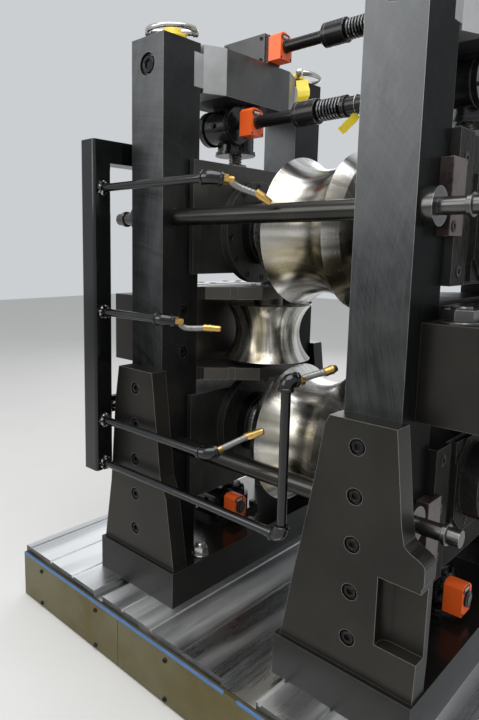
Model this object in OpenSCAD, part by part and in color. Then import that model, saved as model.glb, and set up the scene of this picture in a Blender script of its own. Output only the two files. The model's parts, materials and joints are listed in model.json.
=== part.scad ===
// Four-roll pipe mill stand on its machined bed.
// X runs along the horizontal roll axes, from the drive side to the operator side.
// Y runs along the mill line, from the entry side to the exit side. Z is up.
// The origin is on the ground, under the middle of the bed.

/* [Bed] */
// Width of the bed along the roll axes
bed_w = 1912; // [1700:2:2200]
// Length of the bed along the mill line
bed_l = 1363; // [1250:1:1700]
// Height of the bed above the ground
bed_h = 215; // [180:1:300]
// Depth of the keyways in the bed
keyway_depth = 22; // [10:1:40]
// Width of the keyway under the drive side sole
keyway_w = 51; // [40:1:70]
// Width of the wide keyway beside the operator side sole
wide_keyway_w = 128; // [100:1:140]
// Pitch of the grooves between the bed's machined strips
strip_pitch = 148; // [140:1:155]
// Width of those grooves
strip_groove_w = 10; // [6:1:16]
// Depth of those grooves
strip_groove_depth = 7; // [4:1:12]
// Thickness of the cover plates on the ends of the bed
cover_t = 12; // [6:1:20]
// Height of the cover plates
cover_h = 184; // [150:1:190]

/* [Housings] */
// Distance between the centres of the two housings
housing_pitch = 876; // [860:1:900]
// Width of a post along the roll axes
post_w = 160; // [150:1:170]
// Depth of a post along the mill line
post_d = 175; // [165:1:190]
// Clear window between the entry and exit posts
window_w = 577; // [560:1:600]
// Height of the posts' tops above the bed
post_top = 1927; // [1900:1:1980]
// Height of a sole beam
sole_h = 127; // [110:1:140]
// Reach of a sole beam from its housing's centre towards the rolls
sole_in = 227; // [222:1:240]
// Reach of the drive side sole beam from its housing's centre away from the rolls
sole_out_drive = 168; // [165:1:200]
// Reach of the operator side sole beam from its housing's centre away from the rolls
sole_out_operator = 185; // [184:1:200]
// Length of a sole beam beyond the gussets at each end
sole_over = 15; // [10:1:40]
// Thickness of the gusset plates
gusset_t = 65; // [50:1:75]
// Height of the gussets' tops above the bed
gusset_top = 806; // [780:1:830]
// Height of the pocket in each operator side gusset
pocket_h = 185; // [150:1:190]
// Height of the pocket's floor above the bed
pocket_floor = 235; // [225:1:260]
// Depth of the pocket
pocket_depth = 42; // [30:1:50]
// Diameter of the counterbores for the gusset screws
gusset_cbore_d = 44; // [40:1:50]
// Depth of the counterbores
cbore_depth = 12; // [6:1:20]
// Height of the lowest gusset screw above the bed
gusset_screw_z = 216; // [200:1:240]
// Pitch of the gusset screws
gusset_screw_pitch = 130.5; // [120:0.5:135]
// Number of screws in each gusset
gusset_screws = 5; // [3:1:5]
// Height of the lower screw in each post's inner face above the bed
guide_screw_z = 858; // [840:1:880]
// Distance between the two screws in each post's inner face
guide_screw_pitch = 148; // [130:1:160]

/* [Crossbeams] */
// Height of a crossbeam
beam_h = 160; // [140:1:180]
// Width of a crossbeam between its slanted ends
beam_w = 226; // [200:1:240]
// Height of the tenons on the crossbeams' ends
tenon_h = 113; // [90:1:130]
// Distance from the posts' tops down to the tenons
tenon_drop = 32; // [20:1:40]
// Depth of the notches that take the tenons
tenon_in = 31; // [20:1:45]
// Gap between a crossbeam's shoulder and the post
beam_gap = 15; // [8:1:25]
// Length of the slanted stretch at each end of a crossbeam
beam_slant = 85; // [60:1:110]
// Diameter of the counterbores for the tenon screws
beam_cbore_d = 74; // [60:1:80]

/* [Tie bars] */
// Diameter of the tie bars
tie_d = 58; // [50:1:64]
// Distance of the tie bars behind the posts' outer faces along the mill line
tie_in = 61; // [50:1:75]
// Height of the upper tie bars above the bed
tie_upper_z = 1334; // [1300:1:1360]
// Height of the lower tie bars above the bed
tie_lower_z = 530; // [510:1:560]
// Diameter of the tie bar collars
tie_collar_d = 96; // [80:1:110]
// Thickness of the tie bar collars
tie_collar_t = 31; // [20:1:40]
// Diameter of the tie bars' reduced ends
tie_end_d = 44; // [30:1:50]
// Length of the reduced ends beyond the collars
tie_end_l = 110; // [60:1:150]

/* [Rolls] */
// Height of the pass line above the bed
pass_z = 917; // [910:1:925]
// Offset of the pass line from the middle of the stand towards the operator side
pass_x = 17; // [0:1:20]
// Radius of the horizontal rolls' grooves
pass_r = 162; // [150:1:168]
// Distance from the pass line to the horizontal rolls' axes
roll_drop = 374; // [370:1:380]
// Width of a horizontal roll's groove from rim to rim
roll_groove_w = 232; // [220:1:236]
// Width of the conical flank on each side of a horizontal roll
roll_flank_w = 44; // [30:1:50]
// Drop of the conical flank
roll_flank_drop = 34; // [20:1:45]
// Diameter of the horizontal rolls' shafts at the rolls
roll_shaft_d = 150; // [130:1:170]
// Diameter of the collars beside the bearing covers
roll_collar_d = 240; // [220:1:250]
// Diameter of the free spindle ends on the drive side
spindle_end_d = 110; // [90:1:120]
// Length of the spindle ends beyond the housing
spindle_end_l = 180; // [120:1:220]
// Radius of the side rolls' grooves
side_pass_r = 148; // [140:1:155]
// Radius of a side roll's rims
side_rim_r = 165; // [160:1:168]
// Height of a side roll
side_roll_h = 208; // [200:1:212]
// Diameter of the pins that carry the side rolls
side_pin_d = 70; // [60:1:80]

/* [Chocks] */
// Height of a chock on the side away from the pass
chock_far = 244; // [235:1:250]
// Height of a chock on the side towards the pass
chock_near = 153; // [145:1:160]
// Thickness of the flanges that lap over the posts
flange_t = 18; // [12:1:24]
// Width of the lap of the flanges over the posts
flange_lap = 50; // [30:1:60]
// Diameter of the bearing covers
cover_d = 384; // [360:1:390]
// Thickness of the bearing covers
cover_disc_t = 32; // [20:1:40]
// Reach of the chocks beyond the posts' outer faces
chock_out = 22; // [15:1:30]
// Width of the raised bars at the edges of a chock's outer face
bar_w = 92; // [60:1:100]
// Width of the clipped plate around each journal's end
end_plate_w = 290; // [260:1:300]
// Diameter of the journal's end cover
end_cover_d = 232; // [200:1:250]
// Diameter of the shaft journals in the chocks
journal_d = 170; // [150:1:180]

/* [Side roll yokes] */
// Half height of the opening between a yoke's plates
yoke_open_half = 128; // [122:1:132]
// Thickness of a yoke's plates
yoke_plate_t = 45; // [38:1:48]
// Width of a yoke's nose
yoke_nose_w = 233; // [220:1:260]
// Distance from a yoke's nose to its side roll's axis
yoke_nose_reach = 59; // [50:1:70]
// Width of the key slots in the yokes' slanted faces
yoke_slot_w = 28; // [20:1:36]
// Distance from the side roll's axis to the yoke's back face
yoke_back = 195; // [190:1:196]
// Diameter of the side screws
side_screw_d = 70; // [60:1:80]
// Height of the side screw boxes
screw_box_h = 256; // [230:1:280]
// Depth of the side screw boxes away from the housings
screw_box_d = 190; // [150:1:230]
// Distance that a screw box stops short of the posts' outer faces
screw_box_in = 74; // [60:1:90]

/* [Jacks] */
// Diameter of the jack screws
jack_screw_d = 52; // [44:1:56]
// Diameter of a jack's body
jack_body_d = 142; // [120:1:150]
// Diameter of a jack's end flange
jack_flange_d = 156; // [150:1:170]
// Offset of a jack's worm from its screw towards the entry side
worm_offset = 72; // [66:1:80]
// Offset of the lift shaft from the jacks towards the exit side
lift_y = 77; // [60:1:90]
// Bore of the position indicators
indicator_bore = 30; // [20:1:34]
// Diameter of a jack's worm housing
worm_d = 132; // [120:1:136]
// Length of a jack's worm housing
worm_l = 150; // [140:1:160]
// Depth of the upper jacks' worms below the posts' tops
worm_drop = 239; // [230:1:250]
// Height of the lower jacks' worms above the bed
worm_low_z = 205; // [200:1:215]

/* [Coolant] */
// Width and depth of the square manifold tube
manifold_w = 76; // [60:1:80]
// Corner radius of the manifold tube
manifold_r = 10; // [4:1:14]
// Height of the manifold's foot above the bed
manifold_foot = 418; // [400:1:430]
// Height of the manifold's top above the bed
manifold_top = 1593; // [1560:1:1620]
// Distance from the posts' entry faces to the pipes' centres
pipe_out = 107; // [104:1:115]
// Outer diameter of the coolant pipes
pipe_d = 27; // [21:0.5:34]
// Outer diameter of the pipe elbows
elbow_d = 38; // [34:1:44]

/* [Hidden] */

$fn = 96;

// Clearances
slide_gap = 5;
shaft_gap = 0.05;
seat_gap = 0.1;

// Places worked out from the driving sizes
half_pitch = housing_pitch / 2;
half_post = post_w / 2;
half_window = window_w / 2;
half_line = half_window + post_d;
sole_half_l = half_line + gusset_t + sole_over;
roll_half_w = roll_groove_w / 2 + roll_flank_w;
rim_r = roll_drop - sqrt(pass_r * pass_r - roll_groove_w * roll_groove_w / 4);
top_axis_z = bed_h + pass_z + roll_drop;
low_axis_z = bed_h + pass_z - roll_drop;
line_z = bed_h + pass_z;
side_throat = side_rim_r - (side_pass_r - sqrt(side_pass_r * side_pass_r - side_roll_h * side_roll_h / 4));
side_axis = side_pass_r + side_throat;
chock_half = half_window - slide_gap;
chock_face = half_post + slide_gap + flange_t;
beam_base_z = bed_h + post_top - beam_h;
worm_top_z = post_top - worm_drop;
tenon_z = bed_h + post_top - tenon_drop - tenon_h;

steel = [0.17, 0.17, 0.18];
black = [0.07, 0.07, 0.07];
bright = [0.72, 0.73, 0.74];
tan = [0.55, 0.52, 0.46];
orange = [1.0, 0.36, 0.08];
brass = [0.78, 0.6, 0.25];

// A solid cylinder along X between two places
module rod_x(from, to, d) {
    translate([min(from, to), 0, 0]) rotate([0, 90, 0]) cylinder(d = d, h = abs(to - from));
}

// The machined bed, with keyways and grooves along the mill line
module bed() {
    first = -920;
    color(bright) difference() {
        translate([-bed_w / 2, -bed_l / 2 + cover_t, 0]) cube([bed_w, bed_l - 2 * cover_t, bed_h]);
        for (k = [[-465, keyway_w], [189, wide_keyway_w]])
            translate([k[0] - k[1] / 2, -bed_l, bed_h - keyway_depth])
                cube([k[1], 2 * bed_l, keyway_depth + 1]);
        for (i = [0, 1, 2, 4, 5, 6, 8, 9, 10, 11, 12])
            translate([first + i * strip_pitch - strip_groove_w / 2, -bed_l, bed_h - strip_groove_depth])
                cube([strip_groove_w, 2 * bed_l, strip_groove_depth + 1]);
    }
}

// Plates that close the entry and exit ends of the bed
module bed_covers() {
    split = -338;
    color(tan) for (side = [-1, 1], x = [[-bed_w / 2, split - 1], [split + 1, bed_w / 2]])
        translate([x[0], side > 0 ? bed_l / 2 - cover_t : -bed_l / 2, bed_h - cover_h - keyway_depth - 4])
            cube([x[1] - x[0], cover_t, cover_h]);
}

// A sole beam; side is -1 on the drive side and 1 on the operator side
module sole(side) {
    out = side < 0 ? sole_out_drive : sole_out_operator;
    color(black) translate([side * half_pitch, 0, bed_h]) mirror([side < 0 ? 0 : 1, 0, 0])
        translate([-out, -sole_half_l, 0]) cube([sole_in + out, 2 * sole_half_l, sole_h]);
}
module drive_sole() { sole(-1); }
module operator_sole() { sole(1); }

// A post with its tenon notch, tie bar bores and screw counterbore; line is -1 at the entry and 1 at the exit
module post(side, line) {
    outer_y = line * half_line;
    color(steel) translate([side * half_pitch, 0, 0]) difference() {
        translate([-half_post, line > 0 ? half_window : -half_line, bed_h + sole_h])
            cube([post_w, post_d, post_top - sole_h]);
        translate([-post_w, line > 0 ? half_window - 1 : -half_window - tenon_in, tenon_z - seat_gap])
            cube([2 * post_w, tenon_in + 1, tenon_h + 2 * seat_gap]);
        for (z = [tie_upper_z, tie_lower_z]) translate([0, line * (half_line - tie_in), bed_h + z])
            rod_x(-post_w, post_w, tie_d + 2 * seat_gap);
        translate([0, outer_y - line * cbore_depth, tenon_z + tenon_h / 2])
            rotate([-line * 90, 0, 0]) cylinder(d = beam_cbore_d, h = cbore_depth + 1);
        for (i = [0, 1])
            translate([-side * half_post, line * (half_line - 104), bed_h + guide_screw_z + i * guide_screw_pitch])
                rod_x(-side, side * cbore_depth, gusset_cbore_d);
    }
}
module drive_entry_post() { post(-1, -1); }
module drive_exit_post() { post(-1, 1); }
module operator_entry_post() { post(1, -1); }
module operator_exit_post() { post(1, 1); }

// Outlines of the gussets, with X from the post's centre towards the operator side
drive_outline = [
    [-78, gusset_top], [100, gusset_top], [146, 442], [175, 375], [215, sole_h],
    [-163, sole_h], [-126, 358], [-99, 674]
];
operator_outline = [
    [-84, gusset_top], [100, gusset_top], [116, 661], [125, 575], [134, 527], [141, 519], [149, 513],
    [158, 508.5], [168, 504.5], [176, 500], [183, 495], [187, 490], [189, 483],
    [189, 444], [188, 438], [184, 432], [183, 222], [180, sole_h],
    [-212, sole_h], [-181, 310], [-148, 478], [-118, 647], [-98, 778]
];

// A gusset plate, screwed to the outer face of its post
module gusset(side, line) {
    r = 24;
    color(black) translate([side * half_pitch, line * half_line, bed_h]) difference() {
        translate([0, line > 0 ? gusset_t : 0, 0]) rotate([90, 0, 0]) linear_extrude(gusset_t)
            polygon(side < 0 ? drive_outline : operator_outline);
        for (i = [0 : gusset_screws - 1])
            translate([side < 0 ? 12 : -2, line * (gusset_t - cbore_depth), gusset_screw_z + i * gusset_screw_pitch])
                rotate([-line * 90, 0, 0]) cylinder(d = gusset_cbore_d, h = cbore_depth + 1);
        if (side > 0) mirror([0, line > 0 ? 0 : 1, 0]) translate([74, gusset_t - pocket_depth, pocket_floor]) {
            translate([r, 0, 0]) cube([200, pocket_depth + 1, pocket_h]);
            translate([0, r, 0]) cube([r + 1, pocket_depth - r + 1, pocket_h]);
            translate([r, r, 0]) cylinder(r = r, h = pocket_h);
        }
    }
}
module drive_entry_gusset() { gusset(-1, -1); }
module drive_exit_gusset() { gusset(-1, 1); }
module operator_entry_gusset() { gusset(1, -1); }
module operator_exit_gusset() { gusset(1, 1); }

// A crossbeam, slanted out from its shoulders, with a tenon at each end
module crossbeam(side) {
    shoulder = half_window - beam_gap;
    color(steel) translate([side * half_pitch, 0, 0]) difference() {
        union() {
            translate([0, 0, beam_base_z]) linear_extrude(beam_h) polygon([
                for (p = [
                    [half_post, -shoulder], [beam_w / 2, -shoulder + beam_slant],
                    [beam_w / 2, shoulder - beam_slant], [half_post, shoulder],
                    [-half_post, shoulder], [-beam_w / 2, shoulder - beam_slant],
                    [-beam_w / 2, -shoulder + beam_slant], [-half_post, -shoulder]
                ]) p
            ]);
            translate([-half_post, -half_window - tenon_in + seat_gap, tenon_z])
                cube([post_w, window_w + 2 * (tenon_in - seat_gap), tenon_h]);
        }
        translate([0, 0, beam_base_z - 1]) cylinder(d = jack_screw_d + 10, h = beam_h + 2);
    }
}
module drive_crossbeam() { crossbeam(-1); }
module operator_crossbeam() { crossbeam(1); }

// A pair of tie bars, with a collar and a reduced end outside each housing
module tie_bars(z) {
    outer = half_pitch + half_post;
    color(black) for (line = [-1, 1]) translate([0, line * (half_line - tie_in), bed_h + z]) {
        rod_x(-outer, outer, tie_d);
        for (side = [-1, 1]) {
            rod_x(side * outer, side * (outer + tie_collar_t), tie_collar_d);
            rod_x(side * outer, side * (outer + tie_collar_t + tie_end_l), tie_end_d);
        }
    }
}
module upper_tie_bars() { tie_bars(tie_upper_z); }
module lower_tie_bars() { tie_bars(tie_lower_z); }

// A worm jack under a crossbeam
module top_jack(side) {
    plate = 16;
    base = bed_h + worm_top_z - 98;
    color(black) translate([side * half_pitch, 0, 0]) difference() {
        union() {
            translate([0, 0, beam_base_z - plate]) cylinder(d = jack_body_d + 40, h = plate);
            translate([0, 0, base + 12]) cylinder(d = jack_body_d, h = beam_base_z - plate - base - 12);
            translate([0, 0, base]) cylinder(d = jack_flange_d, h = 14);
            translate([0, -worm_offset, bed_h + worm_top_z]) {
                rod_x(-worm_l / 2, worm_l / 2, worm_d - 14);
                for (end = [-1, 1]) rod_x(end * (worm_l / 2 - 22), end * worm_l / 2, worm_d);
            }
        }
        translate([0, 0, base - 1]) cylinder(d = jack_screw_d + 2 * shaft_gap, h = beam_base_z - base + 2);
    }
}
module drive_top_jack() { top_jack(-1); }
module operator_top_jack() { top_jack(1); }

// A worm jack standing on a sole beam
module bottom_jack(side) {
    plate = 20;
    top = 112;
    color(black) translate([side * half_pitch, 0, bed_h + sole_h]) difference() {
        union() {
            translate([-95, -150, 0]) cube([190, 240, plate]);
            cylinder(d = 172, h = 74);
            cylinder(d = jack_body_d, h = 96);
            cylinder(d = 110, h = top);
            translate([0, -worm_offset - 20, worm_low_z - sole_h]) {
                rod_x(-worm_l / 2, worm_l / 2, 92);
                rod_x(0, worm_l / 2 + 80, indicator_bore - 2 * shaft_gap);
                for (end = [-1, 1]) rod_x(end * (worm_l / 2 - 22), end * worm_l / 2, 104);
            }
        }
        translate([0, 0, plate]) cylinder(d = jack_screw_d + 2 * shaft_gap, h = top);
    }
}
module drive_bottom_jack() { bottom_jack(-1); }
module operator_bottom_jack() { bottom_jack(1); }

// A gearbox on top of a crossbeam that turns the lift shaft
module lift_gearbox(side) {
    box = [204, 82, 109];
    color(steel) translate([side * half_pitch, lift_y, bed_h + post_top]) {
        translate([0, 0, box[2] / 2]) cube(box, center = true);
        translate([-side * (box[0] / 2 + 8), 0, box[2] / 2 - 4]) cube([16, box[1] - 8, box[2] - 8], center = true);
    }
}
module drive_lift_gearbox() { lift_gearbox(-1); }
module operator_lift_gearbox() { lift_gearbox(1); }

// Position indicators on the ends of the worm shafts
module indicators() {
    body = [55, 72, 96];
    reach = half_pitch - worm_l / 2;
    color(orange) for (p = [
        [-reach + 35, -worm_offset, worm_top_z],
        [-half_pitch + 118, lift_y, post_top + 54],
        [-reach + 16, -worm_offset - 20, worm_low_z],
        [half_pitch + worm_l / 2 + 16, -worm_offset - 20, worm_low_z]
    ]) translate([p[0], p[1], bed_h + p[2]]) difference() {
        translate([0, -body[1] / 2, -body[2] / 2]) rotate([90, 0, 90]) linear_extrude(body[0]) polygon([
            [0, 0], [body[1], 0], [body[1], body[2] - 22], [body[1] - 16, body[2] - 6], [body[1] - 40, body[2]],
            [12, body[2]], [0, body[2] - 10]
        ]);
        rod_x(-body[0], 2 * body[0], indicator_bore);
    }
}

// A cross shaft with a sleeve, a coupling and its spring
module cross_shaft(from, to, sleeve_from, coupling_at) {
    wire = 11;
    coupling_l = 86;
    color(black) {
        rod_x(from, to, indicator_bore - 2 * shaft_gap);
        rod_x(sleeve_from, coupling_at, 44);
        rod_x(coupling_at, coupling_at + coupling_l, 84);
        for (i = [0 : 6]) translate([coupling_at + coupling_l + 4 + i * 12.8, 0, 0]) rotate([0, 90, 0])
            rotate_extrude() translate([32, 0]) circle(d = wire, $fn = 24);
        rod_x(coupling_at + coupling_l - 1, to, 57);
    }
}
module top_cross_shaft() {
    translate([0, -worm_offset, bed_h + worm_top_z])
        cross_shaft(-half_pitch + worm_l / 2, half_pitch - worm_l / 2, -half_pitch + worm_l / 2 + 91, -99);
}
module lift_cross_shaft() {
    translate([0, lift_y, bed_h + post_top + 54])
        cross_shaft(-half_pitch + 118, half_pitch - 118, -half_pitch + 174, -94);
}

// The closed box outside a housing that holds a side roll's screw, with a cap plate on top
module screw_box(side) {
    face = half_pitch + half_post;
    mid = line_z + 5;
    color(black) difference() {
        union() {
            translate([side > 0 ? face : -face - screw_box_d, -half_line + screw_box_in, mid - screw_box_h / 2])
                cube([screw_box_d, 2 * (half_line - screw_box_in), screw_box_h]);
            translate([side > 0 ? face : -face - 124, -280, mid + screw_box_h / 2]) cube([124, 560, 36]);
        }
        translate([0, 0, line_z])
            rod_x(side * (face - 1), side * (face + screw_box_d + 1), side_screw_d + 2 * shaft_gap);
    }
}
module drive_screw_box() { screw_box(-1); }
module operator_screw_box() { screw_box(1); }

// The square coolant manifold, with an arm that is bolted to the drive side post
module coolant_manifold() {
    x = -half_pitch - half_post - 29 - manifold_w / 2;
    y = -half_line - pipe_out;
    arm_end = -half_line + post_d - 20;
    color(black) {
        translate([x, y, bed_h + manifold_foot]) linear_extrude(manifold_top - manifold_foot)
            offset(manifold_r, $fn = 24) square(manifold_w - 2 * manifold_r, center = true);
        translate([x - manifold_w / 2, y, bed_h + manifold_top - manifold_w])
            cube([manifold_w, arm_end - y, manifold_w]);
        for (z = [manifold_top - manifold_w / 2, manifold_foot + 232])
            translate([x - 10, -half_line + 60, bed_h + z - 30])
                cube([-half_pitch - half_post - x + 10, 50, 60]);
        translate([x - 10, y, bed_h + manifold_foot + 202]) cube([20, 150 + pipe_out - 40, 60]);
    }
}

// Ends of the coolant pipes: place along X, height above the bed
pipe_ends = [[-40, 1431], [-235, 1002], [-36, 606], [245, 444]];
riser_top = 888;

// Coolant pipes from the manifold, each with an elbow, and a riser on the lowest
module coolant_pipes() {
    start = -half_pitch - half_post - 29;
    color(black) for (p = pipe_ends) translate([0, -half_line - pipe_out, bed_h + p[1]]) {
        rod_x(start, p[0], pipe_d);
        rod_x(p[0] - 34, p[0] - 12, elbow_d);
        translate([p[0], 0, 0]) sphere(d = elbow_d);
    }
    color(black) translate([pipe_ends[3][0], -half_line - pipe_out, bed_h]) {
        translate([0, 0, pipe_ends[3][1]]) cylinder(d = pipe_d, h = riser_top - pipe_ends[3][1]);
        translate([0, 0, pipe_ends[3][1] + 12]) cylinder(d = elbow_d, h = 22);
        translate([0, 0, riser_top - 40]) cylinder(d = elbow_d, h = 22);
        translate([0, 0, riser_top]) sphere(d = elbow_d);
    }
}

// Nozzles, as points from the elbow's centre to the tip: place along X, offset from the
// posts' entry faces, height above the bed
nozzle_paths = [
    [[-40, -107, 1431], [-9, -60, 1424], [7, -40, 1405], [51, 0, 1384], [78, 20, 1359]],
    [[-235, -107, 1002], [-210, -60, 994], [-198, -42, 974], [-142, 0, 976], [-104, 20, 975]],
    [[-36, -107, 606], [-20, -70, 617], [-4, -50, 629], [37, 0, 659], [79, 20, 680]],
    [[245, -107, 888], [262, -66, 881], [272, -44, 890], [305, 0, 904], [317, 20, 912]]
];
nozzle_sides = 10;

// A place on the smooth curve through four points, at a share of the way from b to c
function bend(a, b, c, d, t) =
    (2 * b + (c - a) * t + (2 * a - 5 * b + 4 * c - d) * t * t + (3 * b - a - 3 * c + d) * t * t * t) / 2;

// A ring of points around a place, square to the way there
function ring(place, way, r) =
    let (across = cross(way, [0, 0, 1]) / norm(cross(way, [0, 0, 1])), up = cross(across, way) / norm(way))
    [for (i = [0 : nozzle_sides - 1])
        let (turn = 360 * i / nozzle_sides) place + r * (cos(turn) * across + sin(turn) * up)];

// Brass nipples, hoses and spray tips, each skinned over its rings
module nozzles() {
    n = nozzle_sides;
    color(brass) for (p = nozzle_paths) {
        out = (p[1] - p[0]) / norm(p[1] - p[0]);
        rings = concat(
            [ring(p[0] + out * (elbow_d / 2 + 0.3), out, 11), ring(p[1], out, 11)],
            [for (k = [1, 2], t = [0, 1 / 3, 2 / 3]) let (place = bend(p[k - 1], p[k], p[k + 1], p[k + 2], t))
                ring(place, bend(p[k - 1], p[k], p[k + 1], p[k + 2], t + 0.02) - place, 9)],
            [for (end = [[p[3], 9], [p[3], 11], [p[4], 7]]) ring(end[0], p[4] - p[3], end[1])]
        );
        last = len(rings) - 1;
        translate([0, -half_line, bed_h]) polyhedron(
            points = [for (r = rings, point = r) point],
            faces = concat(
                [[for (i = [n - 1 : -1 : 0]) i]],
                [for (k = [0 : last - 1], i = [0 : n - 1])
                    let (next = (i + 1) % n)
                    each [[k * n + i, k * n + next, (k + 1) * n + next], [k * n + i, (k + 1) * n + next, (k + 1) * n + i]]],
                [[for (i = [0 : n - 1]) last * n + i]]
            )
        );
    }
}

// A chock, open along its bore; side picks the housing and up picks the top or bottom roll
module chock(side, up) {
    axis_z = up > 0 ? top_axis_z : low_axis_z;
    low = up > 0 ? axis_z - chock_near : axis_z - chock_far;
    high = up > 0 ? axis_z + chock_far : axis_z + chock_near;
    clip = 62;
    half_plate = end_plate_w / 2;
    color(steel) translate([side * half_pitch, 0, 0]) mirror([side < 0 ? 0 : 1, 0, 0]) difference() {
        union() {
            translate([-half_post - chock_out, -chock_half, low])
                cube([half_post + chock_out + chock_face, 2 * chock_half, high - low]);
            translate([chock_face - flange_t, -half_window - flange_lap, low])
                cube([flange_t, 2 * (half_window + flange_lap), high - low]);
            translate([0, 0, axis_z]) rod_x(chock_face, chock_face + cover_disc_t, cover_d);
            translate([-half_post - chock_out, 0, axis_z]) {
                rotate([90, 0, -90]) linear_extrude(6) polygon([
                    [-half_plate, -half_plate + clip], [-half_plate + clip, -half_plate],
                    [half_plate - clip, -half_plate], [half_plate, -half_plate + clip],
                    [half_plate, half_plate - clip], [half_plate - clip, half_plate],
                    [-half_plate + clip, half_plate], [-half_plate, half_plate - clip]
                ]);
                rod_x(-6, -56, end_cover_d);
            }
        }
        difference() {
            translate([-half_post - chock_out - 1, -chock_half + bar_w, low - 1])
                cube([15, 2 * (chock_half - bar_w), high - low + 2]);
            translate([-half_post - chock_out - 2, -half_plate, axis_z - half_plate])
                cube([17, end_plate_w, end_plate_w]);
        }
        translate([0, 0, axis_z]) rod_x(-half_pitch, half_pitch, journal_d + 2 * shaft_gap);
    }
}
module drive_top_chock() { chock(-1, 1); }
module operator_top_chock() { chock(1, 1); }
module drive_bottom_chock() { chock(-1, -1); }
module operator_bottom_chock() { chock(1, -1); }

// The jack screws, each with a foot on its chock
module top_jack_screws() {
    base = top_axis_z + chock_far;
    color(bright) for (side = [-1, 1]) translate([side * half_pitch, 0, base]) {
        cylinder(d = 90, h = 20);
        cylinder(d = jack_screw_d, h = bed_h + post_top - 50 - base);
    }
}
module bottom_jack_screws() {
    base = low_axis_z - chock_far;
    color(bright) for (side = [-1, 1]) translate([side * half_pitch, 0, base]) {
        translate([0, 0, -16]) cylinder(d = 110, h = 16);
        translate([0, 0, -110]) cylinder(d = jack_screw_d, h = 110);
    }
}

// A grooved horizontal roll
module flat_roll(axis_z) {
    w = roll_groove_w / 2;
    color(bright) translate([pass_x, 0, axis_z]) rotate([0, 90, 0]) rotate_extrude() difference() {
        polygon([
            [roll_shaft_d / 2, -roll_half_w], [rim_r - roll_flank_drop, -roll_half_w], [rim_r, -w],
            [rim_r, w], [rim_r - roll_flank_drop, roll_half_w], [roll_shaft_d / 2, roll_half_w]
        ]);
        translate([roll_drop, 0]) circle(r = pass_r, $fn = 180);
    }
}
module top_roll() { flat_roll(top_axis_z); }
module bottom_roll() { flat_roll(low_axis_z); }

// A roll shaft with its collars and journals, and a free spindle end on the drive side
module roll_shaft(axis_z) {
    inner = half_pitch - chock_face - cover_disc_t - 4;
    collar = 42;
    color(steel) translate([0, 0, axis_z]) {
        rod_x(-half_pitch - half_post - spindle_end_l, 0, spindle_end_d);
        rod_x(-half_pitch - half_post - chock_out - 50, half_pitch + half_post + chock_out + 50, journal_d);
        rod_x(-inner, inner, roll_shaft_d);
        rod_x(-inner, -inner + collar, roll_collar_d);
        rod_x(inner - collar, inner, roll_collar_d);
        rod_x(pass_x - roll_half_w - 26, pass_x - roll_half_w, roll_collar_d - 40);
        rod_x(pass_x + roll_half_w, pass_x + roll_half_w + 26, roll_collar_d - 40);
    }
}
module top_roll_shaft() { roll_shaft(top_axis_z); }
module bottom_roll_shaft() { roll_shaft(low_axis_z); }

// A yoke that carries a side roll on its pin, with its screw behind
module yoke(side) {
    axis_x = side * side_axis;
    nose = side_axis - yoke_nose_reach;
    back = side_axis + yoke_back;
    wall = side_axis + side_rim_r + slide_gap + 3;
    shoulder = nose + (chock_half - 20 - yoke_nose_w / 2);
    half_h = yoke_open_half + yoke_plate_t;
    color(steel) translate([pass_x, 0, line_z]) mirror([side > 0 ? 0 : 1, 0, 0]) {
        difference() {
            translate([0, 0, -half_h]) linear_extrude(2 * half_h) polygon([
                [nose, -yoke_nose_w / 2], [shoulder, -chock_half + 20], [shoulder + 18, -chock_half + 20],
                [shoulder + 18, -chock_half], [back, -chock_half], [back, chock_half],
                [shoulder + 18, chock_half], [shoulder + 18, chock_half - 20], [shoulder, chock_half - 20],
                [nose, yoke_nose_w / 2]
            ]);
            for (line = [-1, 1])
                translate([(nose + shoulder) / 2, line * (yoke_nose_w / 2 + chock_half - 20) / 2, 0])
                    rotate([0, 0, line * 45]) translate([-12, -yoke_slot_w / 2, -half_h - 1])
                        cube([24, yoke_slot_w, 2 * half_h + 2]);
            translate([0, -half_window, -yoke_open_half]) cube([wall, window_w, 2 * yoke_open_half]);
        }
        translate([side_axis, 0, -half_h]) cylinder(d = side_pin_d, h = 2 * half_h);
        for (z = [-yoke_open_half - 1, side_roll_h / 2 + 0.3])
            translate([side_axis, 0, z]) cylinder(d = side_pin_d + 40, h = yoke_open_half - side_roll_h / 2 + 0.7);
        rod_x(back - 1, back + 170 + screw_box_d, side_screw_d);
    }
}
module drive_yoke() { yoke(-1); }
module operator_yoke() { yoke(1); }

// A side roll with a concave groove, turning on its pin
module side_roll(side) {
    color(bright) translate([pass_x + side * side_axis, 0, line_z]) rotate_extrude() difference() {
        translate([side_pin_d / 2 + shaft_gap, -side_roll_h / 2])
            square([side_rim_r - side_pin_d / 2 - shaft_gap, side_roll_h]);
        translate([side_axis, 0]) circle(r = side_pass_r, $fn = 180);
    }
}
module drive_side_roll() { side_roll(-1); }
module operator_side_roll() { side_roll(1); }

bed();
bed_covers();
drive_sole();
operator_sole();
drive_entry_post();
drive_exit_post();
operator_entry_post();
operator_exit_post();
drive_entry_gusset();
drive_exit_gusset();
operator_entry_gusset();
operator_exit_gusset();
drive_crossbeam();
operator_crossbeam();
upper_tie_bars();
lower_tie_bars();
drive_top_jack();
operator_top_jack();
drive_bottom_jack();
operator_bottom_jack();
drive_lift_gearbox();
operator_lift_gearbox();
indicators();
top_cross_shaft();
lift_cross_shaft();
drive_screw_box();
operator_screw_box();
coolant_manifold();
coolant_pipes();
nozzles();
drive_top_chock();
operator_top_chock();
top_jack_screws();
top_roll();
top_roll_shaft();
drive_bottom_chock();
operator_bottom_chock();
bottom_jack_screws();
bottom_roll();
bottom_roll_shaft();
drive_yoke();
drive_side_roll();
operator_yoke();
operator_side_roll();
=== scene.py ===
import json
import math

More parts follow.
